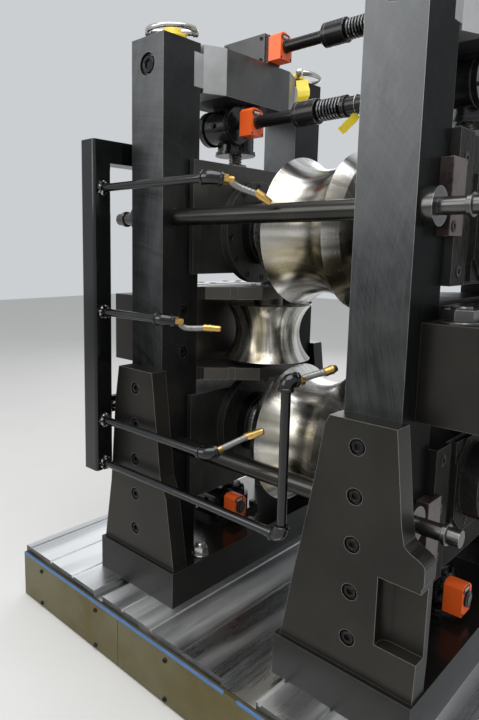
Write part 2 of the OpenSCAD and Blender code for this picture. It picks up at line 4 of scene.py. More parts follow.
import bmesh
import bpy
from mathutils import Matrix, Vector

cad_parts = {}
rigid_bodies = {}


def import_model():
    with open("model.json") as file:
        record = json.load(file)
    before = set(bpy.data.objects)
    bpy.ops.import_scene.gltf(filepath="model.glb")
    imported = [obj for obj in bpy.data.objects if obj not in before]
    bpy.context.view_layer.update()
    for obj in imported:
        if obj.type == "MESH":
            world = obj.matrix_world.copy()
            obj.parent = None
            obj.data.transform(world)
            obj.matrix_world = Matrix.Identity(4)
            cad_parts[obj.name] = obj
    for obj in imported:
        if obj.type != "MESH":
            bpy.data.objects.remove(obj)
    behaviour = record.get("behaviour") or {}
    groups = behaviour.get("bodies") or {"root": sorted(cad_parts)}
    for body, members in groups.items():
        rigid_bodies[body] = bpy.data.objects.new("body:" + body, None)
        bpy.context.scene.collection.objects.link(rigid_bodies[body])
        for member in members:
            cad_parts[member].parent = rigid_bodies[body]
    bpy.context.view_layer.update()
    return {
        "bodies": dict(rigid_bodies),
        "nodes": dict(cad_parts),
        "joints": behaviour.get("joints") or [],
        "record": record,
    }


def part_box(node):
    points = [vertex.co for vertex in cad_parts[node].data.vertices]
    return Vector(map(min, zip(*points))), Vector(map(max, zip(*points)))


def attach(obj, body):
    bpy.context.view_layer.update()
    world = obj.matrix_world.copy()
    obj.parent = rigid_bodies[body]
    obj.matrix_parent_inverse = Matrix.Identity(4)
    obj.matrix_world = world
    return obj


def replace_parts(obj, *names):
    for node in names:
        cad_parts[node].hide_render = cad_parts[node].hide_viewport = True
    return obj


# Viewpoint: held by hand at about 1.44 m, a little outside the operator
# side's entry corner, and turned 45 degrees to the mill line.
scene = bpy.context.scene
scene.view_settings.view_transform = "Standard"
turn, dip, lean = math.radians(44.94), math.radians(8.30), math.radians(-0.66)
ahead = Vector((-math.sin(turn) * math.cos(dip), math.cos(turn) * math.cos(dip), -math.sin(dip)))
level = Vector((math.cos(turn), math.sin(turn), 0))
down = ahead.cross(level)
across = level * math.cos(lean) + down * math.sin(lean)
upward = level * math.sin(lean) - down * math.cos(lean)
eye = bpy.data.cameras.new("viewpoint")
eye.lens, eye.sensor_width, eye.sensor_fit = 29.59, 36.0, "AUTO"
eye.shift_x, eye.shift_y = 0.0747, -0.0337
viewpoint = bpy.data.objects.new("viewpoint", eye)
tilt = Matrix((across, upward, -ahead)).transposed().to_4x4()
viewpoint.matrix_world = Matrix.Translation((1.1394, -1.8469, 1.4398)) @ tilt
scene.collection.objects.link(viewpoint)
scene.camera = viewpoint

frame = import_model()
part = frame["nodes"]


# The bed is a steel slab, planed bright along the mill line and wiped with oil,
# with fine tool lines, thin stains and a polish that streaks the same way.
# A finish is a material whose sums are written with Wire, one shader socket.
class Wire:
    def __init__(self, finish, socket):
        self.finish, self.socket = finish, socket

    def __add__(self, other):
        return self.finish.sums("ADD", self, other)

    def __sub__(self, other):
        return self.finish.sums("SUBTRACT", self, other)

    def __rsub__(self, other):
        return self.finish.sums("SUBTRACT", other, self)

    def __mul__(self, other):
        return self.finish.sums("MULTIPLY", self, other)

    __radd__ = __add__
    __rmul__ = __mul__

    def sine(self):
        return self.finish.sums("SINE", self)

    def size(self):
        return self.finish.sums("ABSOLUTE", self)


class Finish:
    def __init__(self, name):
        self.material = bpy.data.materials.new(name)
        self.material.use_nodes = True
        self.tree = self.material.node_tree
        self.shader = self.tree.nodes["Principled BSDF"]
        self.place = self.node("ShaderNodeTexCoord", out="Object")
        self.x, self.y, self.z = [self.along(self.place, axis) for axis in "XYZ"]

    def feed(self, socket, value):
        if isinstance(value, Wire):
            self.tree.links.new(value.socket, socket)
        elif socket.type == "RGBA":
            socket.default_value = (*value, 1)
        else:
            socket.default_value = value

    def node(self, kind, *values, out=0, settings=(), **named):
        made = self.tree.nodes.new(kind)
        for key, value in dict(settings).items():
            setattr(made, key, value)
        for index, value in enumerate(values):
            self.feed(made.inputs[index], value)
        for key, value in named.items():
            self.feed(made.inputs[key.replace("_", " ")], value)
        return Wire(self, made.outputs[out])

    def sums(self, operation, *values):
        return self.node("ShaderNodeMath", *values, settings={"operation": operation})

    def vectors(self, operation, *values, out=0):
        return self.node("ShaderNodeVectorMath", *values, out=out, settings={"operation": operation})

    def along(self, vector, axis):
        return self.node("ShaderNodeSeparateXYZ", vector, out=axis)

    def spot(self, x, y, z):
        return self.node("ShaderNodeCombineXYZ", x, y, z)

    def normal(self, axis):
        return self.along(self.node("ShaderNodeNewGeometry", out="Normal"), axis)

    def noise(self, scale, detail=3.0, rough=0.5, at=None):
        at = at or self.place
        return self.node("ShaderNodeTexNoise", Vector=at, Scale=scale, Detail=detail, Roughness=rough)

    def grain(self, stretch, detail=3, rough=0.6):
        return self.noise(1.0, detail, rough, self.vectors("MULTIPLY", self.place, stretch))

    def ramp(self, value, low, high):
        return self.node("ShaderNodeMapRange", Value=value, From_Min=low, From_Max=high)

    def mix(self, share, one, other):
        mixed = self.node("ShaderNodeMix", share, out=2, settings={"data_type": "RGBA"})
        for index, colour in ((6, one), (7, other)):
            self.feed(mixed.socket.node.inputs[index], colour)
        return mixed

    # Edges are mixed toward a bright colour: partly bare worn metal, partly painted edge highlight.
    def rubbed(self, body, bare, radius, share):
        bevel = self.node("ShaderNodeBevel", Radius=radius, settings={"samples": 4})
        flat = self.node("ShaderNodeNewGeometry", out="Normal")
        edge = self.ramp(self.vectors("DOT_PRODUCT", bevel, flat, out="Value"), 0.995, 0.90)
        return self.mix(edge * share, body, bare)

    def relief(self, height, strength, depth):
        return self.node("ShaderNodeBump", Strength=strength, Distance=depth, Height=height)

    def set(self, **values):
        for key, value in values.items():
            self.feed(self.shader.inputs[key.replace("_", " ")], value)
        return self.material


def coat(material, *names):
    for name in names:
        part[name].data.materials.clear()
        part[name].data.materials.append(material)


bed_steel = Finish("planed_bed_steel")
broad = bed_steel.ramp(bed_steel.grain((7.5, 0.7, 7.5), 2, 0.5), 0.42, 0.58)
lines = bed_steel.grain((150, 1.1, 150))
smear = bed_steel.ramp(bed_steel.grain((9, 2.4, 9), 4), 0.50, 0.75)
bed_colour = bed_steel.mix(broad * 0.72 + lines * 0.30, (0.70, 0.71, 0.72), (0.99, 0.99, 0.99))
# The entry and exit end faces are mixed toward dark grey as painted shade.
painted_shade_end_faces = bed_steel.ramp(bed_steel.normal("Y").size(), 0.5, 0.8)
bed_colour = bed_steel.mix(painted_shade_end_faces, bed_colour, (0.11, 0.11, 0.11))
coat(bed_steel.set(
    Base_Color=bed_steel.mix(smear * 0.28, bed_colour, (0.50, 0.48, 0.42)),
    Metallic=1.0,
    Roughness=broad * 0.20 + lines * 0.16 + smear * 0.10 + 0.18,
    Normal=bed_steel.relief(lines, 0.22, 0.0004),
), "bed")


# Cover plates close the ends of the bed. They are cold rolled plate with a grey
# tan cast and yellow-brown blotches, partly oil and partly a painted yellow reflection,
# held by pairs of small socket screws. A strip of blue protective film is left along
# their top edge.
def hexagon(flats):
    return lambda angle: flats / 2 / math.cos((angle + math.pi / 6) % (math.pi / 3) - math.pi / 6)


def facing(place, way):
    return Matrix.Translation(place) @ Vector(way).to_track_quat("Z", "Y").to_matrix().to_4x4()


def turns(steps, start=0.0, count=None):
    return [start + 2 * math.pi * i / steps for i in range(count or steps)]


class Shape:
    def __init__(self):
        self.mesh = bmesh.new()

    def rings(self, rings, frame=Matrix()):
        made = [[self.mesh.verts.new(frame @ Vector(p)) for p in ring] for ring in rings]
        for near, far in zip(made, made[1:]):
            count = max(len(near), len(far))
            for i in range(count):
                j = (i + 1) % count
                corners = (near[i % len(near)], near[j % len(near)], far[j % len(far)], far[i % len(far)])
                corners = list(dict.fromkeys(corners))
                if len(corners) > 2:
                    self.mesh.faces.new(corners)
        for end in (made[0], made[-1]):
            if len(end) > 2:
                self.mesh.faces.new(end)
        return self

    def turned(self, profile, frame, steps):
        rings = []
        for radius, height in profile:
            ring = []
            for angle in turns(steps):
                reach = radius(angle) if callable(radius) else radius
                ring.append((reach * math.cos(angle), reach * math.sin(angle), height))
            rings.append([(0, 0, height)] if radius == 0 else ring)
        return self.rings(rings, frame)

    def set_out(self, profile, places, steps=24):
        for place, way in places:
            self.turned(profile, facing(place, way), steps)
        return self

    def prism(self, outline, low, high):
        return self.rings([[(x, y, z) for x, y in outline] for z in (low, high)])

    def slab(self, low, high):
        (x0, y0, z0), (x1, y1, z1) = low, high
        return self.prism([(x0, y0), (x1, y0), (x1, y1), (x0, y1)], z0, z1)

    def swept(self, path, radii, steps):
        path = [Vector(p) for p in path]
        rings, side = [], None
        for i, place in enumerate(path):
            way = (path[min(i + 1, len(path) - 1)] - path[max(i - 1, 0)]).normalized()
            if side is None:
                side = way.orthogonal().normalized()
            side = (side - way * side.dot(way)).normalized()
            other = way.cross(side)
            radius = radii[i] if isinstance(radii, list) else radii
            rings.append([place + radius * (math.cos(a) * side + math.sin(a) * other) for a in turns(steps)])
        return self.rings(rings)

    def piece(self, name, material, slot, body="housing", bevel=0.0, sharp=35):
        bmesh.ops.recalc_face_normals(self.mesh, faces=self.mesh.faces)
        data = bpy.data.meshes.new(name)
        self.mesh.to_mesh(data)
        self.mesh.free()
        data.shade_smooth()
        data.set_sharp_from_angle(angle=math.radians(sharp))
        data.materials.append(material)
        made = bpy.data.objects.new(name, data)
        scene.collection.objects.link(made)
        if bevel:
            edge = made.modifiers.new("edge", "BEVEL")
            edge.width, edge.segments, edge.angle_limit = bevel, 2, math.radians(40)
        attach(made, body)
        return made


def socket_screws(name, places, head, key, height, body="housing"):
    profile = [
        (head / 2, -0.001), (head / 2, height - head * 0.05), (head * 0.46, height), (key * 0.66, height),
        (hexagon(key), height - key * 0.06), (hexagon(key * 0.97), height * 0.25), (0, height * 0.12),
    ]
    return Shape().set_out(profile, places).piece(name, screw_black, "black_oxide", body, sharp=28)


cover_plate = Finish("cold_rolled_plate")
# The blotches are partly oil marks and partly a painted yellow reflection.
blotch_and_painted_reflection = cover_plate.ramp(cover_plate.noise(4.5, 5, 0.62), 0.42, 0.68)
rolled = cover_plate.grain((12, 12, 500), 3, 0.5)
coat(cover_plate.set(
    Base_Color=cover_plate.mix(blotch_and_painted_reflection, (0.146, 0.133, 0.070), (0.125, 0.100, 0.036)),
    Metallic=0.75,
    Roughness=rolled * 0.14 + blotch_and_painted_reflection * 0.10 + 0.30,
    Normal=cover_plate.relief(rolled, 0.12, 0.0003),
), "bed_covers")
screw_steel = Finish("black_oxide_screw")
screw_black = screw_steel.set(
    Base_Color=screw_steel.rubbed((0.012, 0.012, 0.012), (0.20, 0.20, 0.19), 0.0008, 0.6),
    Metallic=0.75,
    Roughness=screw_steel.noise(400, 2) * 0.15 + 0.26,
)
cover_low, cover_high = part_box("bed_covers")
bed_low, bed_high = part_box("bed")
cover_screws = [
    ((x, y, bed_high.z - drop), (0, way, 0))
    for x in (-0.825, -0.466, -0.100, 0.262, 0.624, 0.880)
    for drop in (0.060, 0.196)
    for y, way in ((cover_low.y, -1), (cover_high.y, 1))
]
socket_screws("cover_plate_screws", cover_screws, 0.016, 0.008, 0.0045)
film = Finish("blue_protective_film")
crease = film.grain((30, 30, 260), 4)
film_blue = film.set(
    Base_Color=film.mix(crease, (0.020, 0.070, 0.200), (0.085, 0.200, 0.420)),
    Roughness=crease * 0.3 + 0.25,
    Normal=film.relief(crease, 0.5, 0.0006),
)
film_steps, film_top = 60, cover_high.z
for end, y, back in (("entry", cover_low.y, 0.004), ("exit", cover_high.y, -0.004)):
    strip = Shape()
    for start, stop in ((bed_low.x, 0.145), (0.193, bed_high.x)):
        strip.rings([
            [
                (x, y - back * 0.15, film_top - 0.009), (x, y - back * 0.15, film_top - 0.0005),
                (x, y + back * 0.3, film_top + 0.0006 + 0.0004 * math.sin(x * 61)),
                (x, y + back, film_top + 0.0006), (x, y + back, film_top - 0.004),
            ]
            for x in (start + (stop - start) * i / film_steps for i in range(film_steps + 1))
        ])
    strip.piece(end + "_film_edge", film_blue, "tan_plate")


# Sole beams carry the housings across the bed. They are ground steel, blacked
# and oiled, so that the upper faces mirror what stands on them. Zinc plated
# nuts on washers clamp them down beside the posts.
sole_steel = Finish("blacked_ground_steel")
cloud = sole_steel.noise(5, 4, 0.55)
sole_base = sole_steel.mix(cloud, (0.007, 0.0066, 0.0060), (0.015, 0.0143, 0.0125))
level_face = sole_steel.ramp(sole_steel.normal("Z"), 0.7, 0.95)
coat(sole_steel.set(
    Base_Color=sole_steel.rubbed(sole_base, (0.13, 0.125, 0.115), 0.003, 0.6),
    Metallic=0.30,
    Roughness=cloud * 0.16 + sole_steel.noise(160, 2) * 0.08 + (1 - level_face) * 0.20 + 0.09,
    Normal=sole_steel.relief(cloud, 0.05, 0.001),
    Specular_IOR_Level=0.32,
), "drive_sole", "operator_sole")


def mottled(name, one, other, pattern, metallic, spread, polish):
    finish = Finish(name)
    patch = finish.noise(*pattern)
    return finish.set(
        Base_Color=finish.mix(patch, one, other),
        Metallic=metallic,
        Roughness=patch * spread + polish,
    )


zinc_light, zinc_dull = (0.62, 0.62, 0.60), (0.44, 0.43, 0.40)
zinc_plate = mottled("bright_zinc_plate", zinc_light, zinc_dull, (38, 4, 0.6), 0.95, 0.2, 0.16)
corners = {"drive_entry": (-1, -1), "drive_exit": (-1, 1), "operator_entry": (1, -1), "operator_exit": (1, 1)}
nut_x, nut_y, sole_top, sole_nuts = 0.246, 0.372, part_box("drive_sole")[1].z, Shape()
sole_nut = [
    (0, -0.001), (0.030, -0.001), (0.031, 0.001), (0.031, 0.004), (0.030, 0.005), (hexagon(0.046), 0.0052),
    (hexagon(0.049), 0.008), (hexagon(0.049), 0.030), (hexagon(0.046), 0.033), (0.0165, 0.0332),
    (0.0165, 0.043), (0.0145, 0.045), (0, 0.045),
]
for side, line in corners.values():
    sole_nuts.turned(sole_nut, Matrix.Translation((side * nut_x, line * nut_y, sole_top)), 48)
sole_nuts.piece("sole_clamp_nuts", zinc_plate, "machined_steel", sharp=28)


# Posts are dark steel bars with fly-cut faces: faint crossing arcs left by the cutter,
# cloudy oil, and bright corners that are partly wear and partly painted highlight. Their
# colour is painted lighter towards the top, and the side faces are painted darker than the
# entry and exit faces: painted light and shade. Socket screws hold the tenons and the
# guide rails, and a plated hoist ring lies on an enamelled hub on each top.
def fly_cut(name, dark, pale, edge, shine, shoulder_milled_sheen=0.0, side_face_shade=0.45):
    steel = Finish(name)
    flat = steel.spot(steel.x + steel.y, steel.z, 0.0)
    passes = []
    for centre in ((0.95, 1.30, 0), (-1.05, 0.85, 0)):
        away = steel.vectors("DISTANCE", flat, centre, out="Value")
        sweep = steel.spot(away * 120, steel.z * 1.6, steel.x * 2 + steel.y * 2)
        passes.append(steel.ramp(steel.noise(1.0, 5, 0.72, at=sweep), 0.40, 0.72))
    arcs = passes[0] * 0.5 + passes[1] * 0.5
    cloud = steel.ramp(steel.noise(4.2, 6, 0.66), 0.34, 0.68)
    hand = steel.ramp(steel.grain((16, 16, 5), 6, 0.7), 0.52, 0.78)
    # Painted shade: the side faces are darker than the entry and exit faces.
    painted_shade_by_face = steel.ramp(steel.normal("Y").size(), 0.35, 0.60)
    # Painted light: the tone grows lighter towards the top.
    painted_light_towards_top = steel.ramp(steel.z, 0.5, 2.3)
    shade = cloud * 0.24 + arcs * 0.24 + hand * 0.16 + painted_light_towards_top * painted_light_towards_top * 0.42
    body = steel.mix(shade * (painted_shade_by_face * (1 - side_face_shade) + side_face_shade), dark, pale)
    if shoulder_milled_sheen:
        # The shoulders are mixed toward light grey: partly a milled finish, partly a painted reflection.
        shoulder = steel.ramp(steel.y.size(), 0.1870, 0.1895)
        body = steel.mix(shoulder * (cloud * 0.35 + 0.62), body, (shoulder_milled_sheen, shoulder_milled_sheen, shoulder_milled_sheen * 0.99))
    return steel.set(
        Base_Color=steel.rubbed(body, edge, 0.0022, 0.75),
        Metallic=0.8,
        Roughness=cloud * 0.12 + arcs * 0.14 + shine,
        Normal=steel.relief(arcs + hand * 0.3, 0.12, 0.0004),
        Specular_Tint=(0.22, 0.22, 0.22),
    )


coat(
    fly_cut("fly_cut_post_steel", (0.016, 0.0165, 0.0165), (0.155, 0.160, 0.162), (0.32, 0.32, 0.31), 0.25),
    *[corner + "_post" for corner in corners],
)
post_low, post_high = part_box("operator_exit_post")
post_x = (post_low.x + post_high.x) / 2
tenon_z, sunk = 2.0535, 0.012
tenon_screws = [
    ((side * post_x, line * (post_high.y - sunk), tenon_z), (0, line, 0)) for side, line in corners.values()
]
socket_screws("tenon_screws", tenon_screws, 0.056, 0.030, 0.0105)
guide_y, guide_levels = 0.3595, (1.073, 1.221)
guide_screws = [
    ((side * (post_low.x + sunk), line * guide_y, z), (-side, 0, 0))
    for side, line in corners.values() for z in guide_levels
]
socket_screws("guide_screws", guide_screws, 0.034, 0.018, 0.010)
yellow = Finish("yellow_enamel")
chip = yellow.ramp(yellow.noise(55, 4, 0.6), 0.62, 0.70)
yellow_enamel = yellow.set(
    Base_Color=yellow.mix(chip, (0.78, 0.55, 0.03), (0.20, 0.16, 0.05)),
    Roughness=chip * 0.3 + 0.30,
)
hub_profile = [
    (0.055, -0.001), (0.055, 0.010), (0.052, 0.013), (0.038, 0.016), (0.034, 0.034), (0.030, 0.037),
    (hexagon(0.030), 0.037), (hexagon(0.030), 0.046), (0, 0.047),
]
boss = [
    (0, -0.046), (0.011, -0.045), (0.011, -0.006), (0.015, -0.005), (0.015, 0.010), (0.012, 0.013),
    (0, 0.0135),
]
bail_r, bail_steps = 0.079, 40
for corner, (side, line) in corners.items():
    foot = Vector((side * (post_x - 0.018), line * ((post_low.y + post_high.y) / 2 - 0.008), post_high.z))
    pivot = foot + Vector((0, 0, 0.030))
    lying, pin = Vector((side * -0.72, line * 0.694, 0)), Vector((line * -0.694, side * -0.72, 0))
    hub, ring = Shape(), Shape()
    hub.turned(hub_profile, Matrix.Translation(foot), 40)
    hub.piece(corner + "_post_hoist_hub", yellow_enamel, "brass", sharp=30)
    bail = [pivot + pin * bail_r]
    for angle in (math.pi * i / bail_steps for i in range(bail_steps + 1)):
        reach = bail_r * math.sin(angle) + 0.020
        bail.append(pivot + pin * (bail_r * math.cos(angle)) + lying * reach - Vector((0, 0, reach * 0.09)))
    bail.append(pivot - pin * bail_r)
    swell = turns(bail_steps + 2, count=bail_steps + 3)
    ring.swept(bail, [0.0092 + 0.0018 * math.cos(a) for a in swell], 16)
    for way in (-1, 1):
        ring.turned(boss, facing(pivot + pin * (way * 0.078), pin * way), 24)
    ring.piece(corner + "_post_hoist_bail", zinc_plate, "machined_steel", sharp=50)


# Gussets are thick blacked plates, flame cut and ground at the edges, that
# brace the posts to the soles. Their screws sit in counterbores.
gusset_steel = Finish("satin_blacked_gusset")
haze = gusset_steel.ramp(gusset_steel.noise(2.6, 5, 0.6), 0.32, 0.70)
speck = gusset_steel.noise(120, 3, 0.6)
foot_light = gusset_steel.ramp(gusset_steel.z, 1.0, 0.35)
ground = gusset_steel.mix(haze * 0.8, (0.0150, 0.0140, 0.0118), (0.036, 0.034, 0.028))
coat(gusset_steel.set(
    Base_Color=gusset_steel.rubbed(ground, (0.30, 0.29, 0.26), 0.0030, 0.8),
    Metallic=0.65,
    Roughness=haze * 0.12 + speck * 0.10 + foot_light * 0.05 + 0.25,
    Normal=gusset_steel.relief(speck, 0.10, 0.0004),
), *[corner + "_gusset" for corner in corners])
gusset_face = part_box("operator_exit_gusset")[1].y
gusset_screws = [
    ((x, line * (gusset_face - sunk), 0.431 + row * 0.1305), (0, line, 0))
    for x in (-0.426, 0.436) for line in (-1, 1) for row in range(5)
]
socket_screws("gusset_screws", gusset_screws, 0.034, 0.018, 0.0105)


# Crossbeams close the housings at the top. They are cut from the same plate as
# the posts, with a brighter milled finish, oily hand marks, and the posts' painted light
# and shade. Their tenon shoulders are painted lighter, partly as milled finish and partly
# as a painted reflection.
beam_dark, beam_pale, beam_edge = (0.062, 0.062, 0.062), (0.270, 0.270, 0.268), (0.42, 0.42, 0.41)
beam_finish = fly_cut("milled_crossbeam_steel", beam_dark, beam_pale, beam_edge, 0.28, 0.64, 0.70)
coat(beam_finish, "drive_crossbeam", "operator_crossbeam")


# Tie bars are black ground rods. Outside the housings their collars, reduced
# ends and clamp rings are dark oily steel.
tie_steel = Finish("ground_tie_bar")
outside = tie_steel.ramp(tie_steel.x.size(), 0.5175, 0.5190)
wipe = tie_steel.grain((5, 40, 40))
blacked = tie_steel.mix(wipe, (0.020, 0.020, 0.020), (0.060, 0.058, 0.050))
bare = tie_steel.mix(wipe, (0.040, 0.042, 0.045), (0.150, 0.145, 0.135))
tie_finish = tie_steel.set(
    Base_Color=tie_steel.rubbed(tie_steel.mix(outside, blacked, bare), (0.5, 0.5, 0.49), 0.002, 0.6),
    Metallic=0.85,
    Roughness=wipe * 0.14 + tie_steel.noise(300, 2) * 0.06 + 0.13,
)
coat(tie_finish, "upper_tie_bars", "lower_tie_bars")
tie_ring = [
    (0.0215, 0), (0.0270, 0.0004), (0.0285, 0.002), (0.0285, 0.011), (0.0270, 0.0126), (0.0215, 0.013)
]
tie_x, tie_y, tie_levels, tie_rings = 0.616, 0.4025, (0.745, 1.549), Shape()
for z in tie_levels:
    tie_rings.set_out(
        tie_ring, [((side * tie_x, line * tie_y, z), (side, 0, 0)) for side, line in corners.values()], 48
    )
tie_rings.piece("tie_bar_clamp_rings", tie_finish, "black_oxide", sharp=30)


# Screw jacks hang under the crossbeams and stand on the soles. They are black
# castings with a worm drum across them, hex screws, oil plugs and turned bands.
jack_iron = Finish("oiled_black_casting")
skin = jack_iron.noise(55, 4, 0.62)
jack_base = jack_iron.mix(skin, (0.006, 0.006, 0.006), (0.020, 0.020, 0.021))
jack_finish = jack_iron.set(
    Base_Color=jack_iron.rubbed(jack_base, (0.20, 0.20, 0.19), 0.0020, 0.45),
    Metallic=0.35,
    Roughness=skin * 0.18 + 0.09,
    Normal=jack_iron.relief(skin, 0.35, 0.0012),
    Specular_IOR_Level=0.6,
)
coat(jack_finish, *[side + end + "_jack" for side in ("drive_", "operator_") for end in ("top", "bottom")])


def hex_heads(shape, places, flats, height):
    profile = [
        (0, -0.0005), (flats * 0.62, 0), (flats * 0.62, 0.0018), (hexagon(flats), 0.0019),
        (hexagon(flats), height * 0.86), (hexagon(flats * 0.93), height), (0, height + 0.0002),
    ]
    return shape.set_out(profile, places)


def around(centre, radius, count, way, start=0.0):
    turned = facing(centre, way)
    ring = [Vector((radius * math.cos(a), radius * math.sin(a), 0)) for a in turns(count, start)]
    return [(turned @ place, way) for place in ring]


housings = ((-1, "drive"), (1, "operator"))
top_worm_y, top_worm_z = -0.072, 1.903
low_worm_y, low_worm_z = -0.092, 0.420
top_band = [(0.050, 0), (0.066, 0), (0.0668, 0.001), (0.0668, 0.004), (0.066, 0.005), (0.050, 0.005)]
foot_band = [(0.060, 0), (0.0785, 0), (0.0792, 0.001), (0.0792, 0.003), (0.0785, 0.004), (0.060, 0.004)]
for side, name in housings:
    x = side * post_x
    foot_screws = [((x + a * 0.078, b, 0.362), (0, 0, 1)) for a in (-1, 1) for b in (-0.132, 0.072)]
    plugs = [((x, -0.1308, top_worm_z), (0, -1, 0)), ((x, -0.138, low_worm_z), (0, -1, 0))]
    heads, bands = Shape(), Shape()
    hex_heads(heads, around((x, 0, 1.966), 0.081, 8, (0, 0, -1), 0.2), 0.014, 0.008)
    hex_heads(heads, foot_screws, 0.024, 0.014)
    hex_heads(heads, around((x, 0, 0.438), 0.0625, 8, (0, 0, 1), 0.2), 0.010, 0.006)
    for way in (-1, 1):
        end = x + way * 0.075
        hex_heads(heads, around((end, top_worm_y, top_worm_z), 0.055, 6, (way, 0, 0), 0.3), 0.010, 0.004)
        hex_heads(heads, around((end, low_worm_y, low_worm_z), 0.044, 6, (way, 0, 0), 0.3), 0.009, 0.006)
        bands.turned(top_band, facing((x + way * 0.0531, top_worm_y, top_worm_z), (way, 0, 0)), 64)
    hex_heads(heads, plugs, 0.017, 0.009)
    heads.piece(name + "_jack_screws", screw_black, "black_oxide", sharp=28)
    bands.turned(foot_band, Matrix.Translation((x, 0, 1.8065)), 64)
    bands.piece(name + "_jack_bands", jack_finish, "black_oxide")


# Gearboxes on the crossbeams turn the lift shaft. Their milled dark boxes have
# a brown bonded seal plate at the shaft end and a socket screw near each corner.
box_steel = Finish("milled_gearbox_steel")
seal = box_steel.ramp(box_steel.x.size(), 0.3362, 0.3358)
box_oil = box_steel.noise(9, 4, 0.6)
box_base = box_steel.mix(box_oil, (0.040, 0.040, 0.041), (0.100, 0.100, 0.099))
box_base = box_steel.mix(seal, box_base, (0.030, 0.012, 0.009))
coat(box_steel.set(
    Base_Color=box_steel.rubbed(box_base, (0.34, 0.33, 0.32), 0.002, 0.6),
    Metallic=0.6,
    Roughness=box_oil * 0.14 + 0.30,
), "drive_lift_gearbox", "operator_lift_gearbox")
lift_y, lift_z = 0.077, 2.196
gearbox_screws = [
    ((side * x, lift_y + line * 0.0405, z), (0, line, 0))
    for side, line in corners.values() for x in (0.352, 0.524) for z in (2.158, 2.235)
]
socket_screws("gearbox_screws", gearbox_screws, 0.014, 0.007, 0.004)


# Position indicators are moulded in bright orange plastic and clamp on the
# worm and lift shafts. Each has black collars and a framed row of drums.
orange = Finish("moulded_orange")
mould = orange.noise(230, 2)
coat(orange.set(
    Base_Color=orange.mix(orange.noise(14, 3), (0.86, 0.105, 0.012), (1.0, 0.155, 0.022)),
    Roughness=mould * 0.12 + 0.30,
    Normal=orange.relief(mould, 0.10, 0.0002),
), "indicators")
edge = part["indicators"].modifiers.new("moulded_edges", "BEVEL")
edge.width, edge.segments, edge.angle_limit = 0.0035, 3, math.radians(20)
collar_black = Finish("satin_black_collar")
collar_finish = collar_black.set(
    Base_Color=collar_black.rubbed((0.016, 0.016, 0.017), (0.20, 0.20, 0.20), 0.0012, 0.7),
    Metallic=0.5,
    Roughness=collar_black.noise(300, 2) * 0.2 + 0.24,
)
drum_face = Finish("counter_drums")
gap_lines = drum_face.ramp((drum_face.y * 897).sine(), 0.90, 0.98)
ticks = drum_face.ramp((drum_face.z * 2400).sine() + (drum_face.y * 1794).sine(), 1.1, 1.5)
drum_finish = drum_face.set(
    Base_Color=drum_face.mix(gap_lines + ticks * 0.5, (0.72, 0.72, 0.68), (0.03, 0.03, 0.03)),
    Roughness=drum_face.noise(500, 2) * 0.1 + 0.25,
)
window_frame = (
    (-0.025, 0.0225, 0.013, 0.0250), (-0.025, 0.0385, 0.013, 0.0410),
    (-0.025, 0.0250, -0.0225, 0.0385), (0.0105, 0.0250, 0.013, 0.0385),
)
collar = [(0.0155, -0.001), (0.0245, -0.001), (0.0245, 0.006), (0.0235, 0.007), (0.0155, 0.007)]
rivet = [(0.0040, -0.001), (0.0040, 0.0012), (0.0032, 0.0020), (0, 0.0020)]
for index, (x, y, z) in enumerate((
    (-0.328, top_worm_y, top_worm_z), (-0.320, lift_y, lift_z),
    (-0.347, low_worm_y, low_worm_z), (0.529, low_worm_y, low_worm_z),
)):
    face = x + 0.055
    trim, drums = Shape(), Shape()
    for y0, z0, y1, z1 in window_frame:
        trim.slab((face - 0.001, y + y0, z + z0), (face + 0.0022, y + y1, z + z1))
    for way, start in ((1, face), (-1, x)):
        trim.turned(collar, facing((start, y, z), (way, 0, 0)), 40)
    for a, b in ((-0.029, -0.041), (0.029, -0.041), (-0.029, 0.030)):
        trim.turned(rivet, facing((face, y + a, z + b), (1, 0, 0)), 16)
    trim.piece(f"indicator_{index}_trim", collar_finish, "black_oxide", sharp=30)
    for k in range(5):
        start = (face - 0.0052, y - 0.0222 + k * 0.0066, z + 0.0318)
        drums.turned([(0, 0), (0.0068, 0.0003), (0.0068, 0.0060), (0, 0.0063)], facing(start, (0, 1, 0)), 28)
    drums.piece(f"indicator_{index}_drums", drum_finish, "orange_plastic", sharp=50)


# Cross shafts turn both jacks and both gearboxes together. Each is a blacked
# shaft with a plain sleeve, a heavy coupling, and a coil spring that keeps the
# coupling shut over a larger tube.
shaft_black = Finish("oiled_black_shaft")
drawn = shaft_black.grain((9, 90, 90))
shaft_base = shaft_black.mix(drawn, (0.012, 0.012, 0.013), (0.038, 0.037, 0.036))
shaft_finish = shaft_black.set(
    Base_Color=shaft_black.rubbed(shaft_base, (0.24, 0.24, 0.24), 0.0018, 0.6),
    Metallic=0.7,
    Roughness=drawn * 0.16 + 0.17,
    Normal=shaft_black.relief(drawn, 0.12, 0.0004),
)
wire_dark, wire_bare = (0.050, 0.050, 0.052), (0.20, 0.20, 0.20)
spring_finish = mottled("spring_wire", wire_dark, wire_bare, (70, 3, 0.6), 1.0, 0.15, 0.16)
set_screw = [
    (0.0062, -0.002), (0.0062, 0.0010), (0.0052, 0.0016), (hexagon(0.006), 0.0016), (hexagon(0.006), -0.001),
    (0, -0.001),
]
coils, coil_steps, coil_r = 7.5, 28, 0.0312
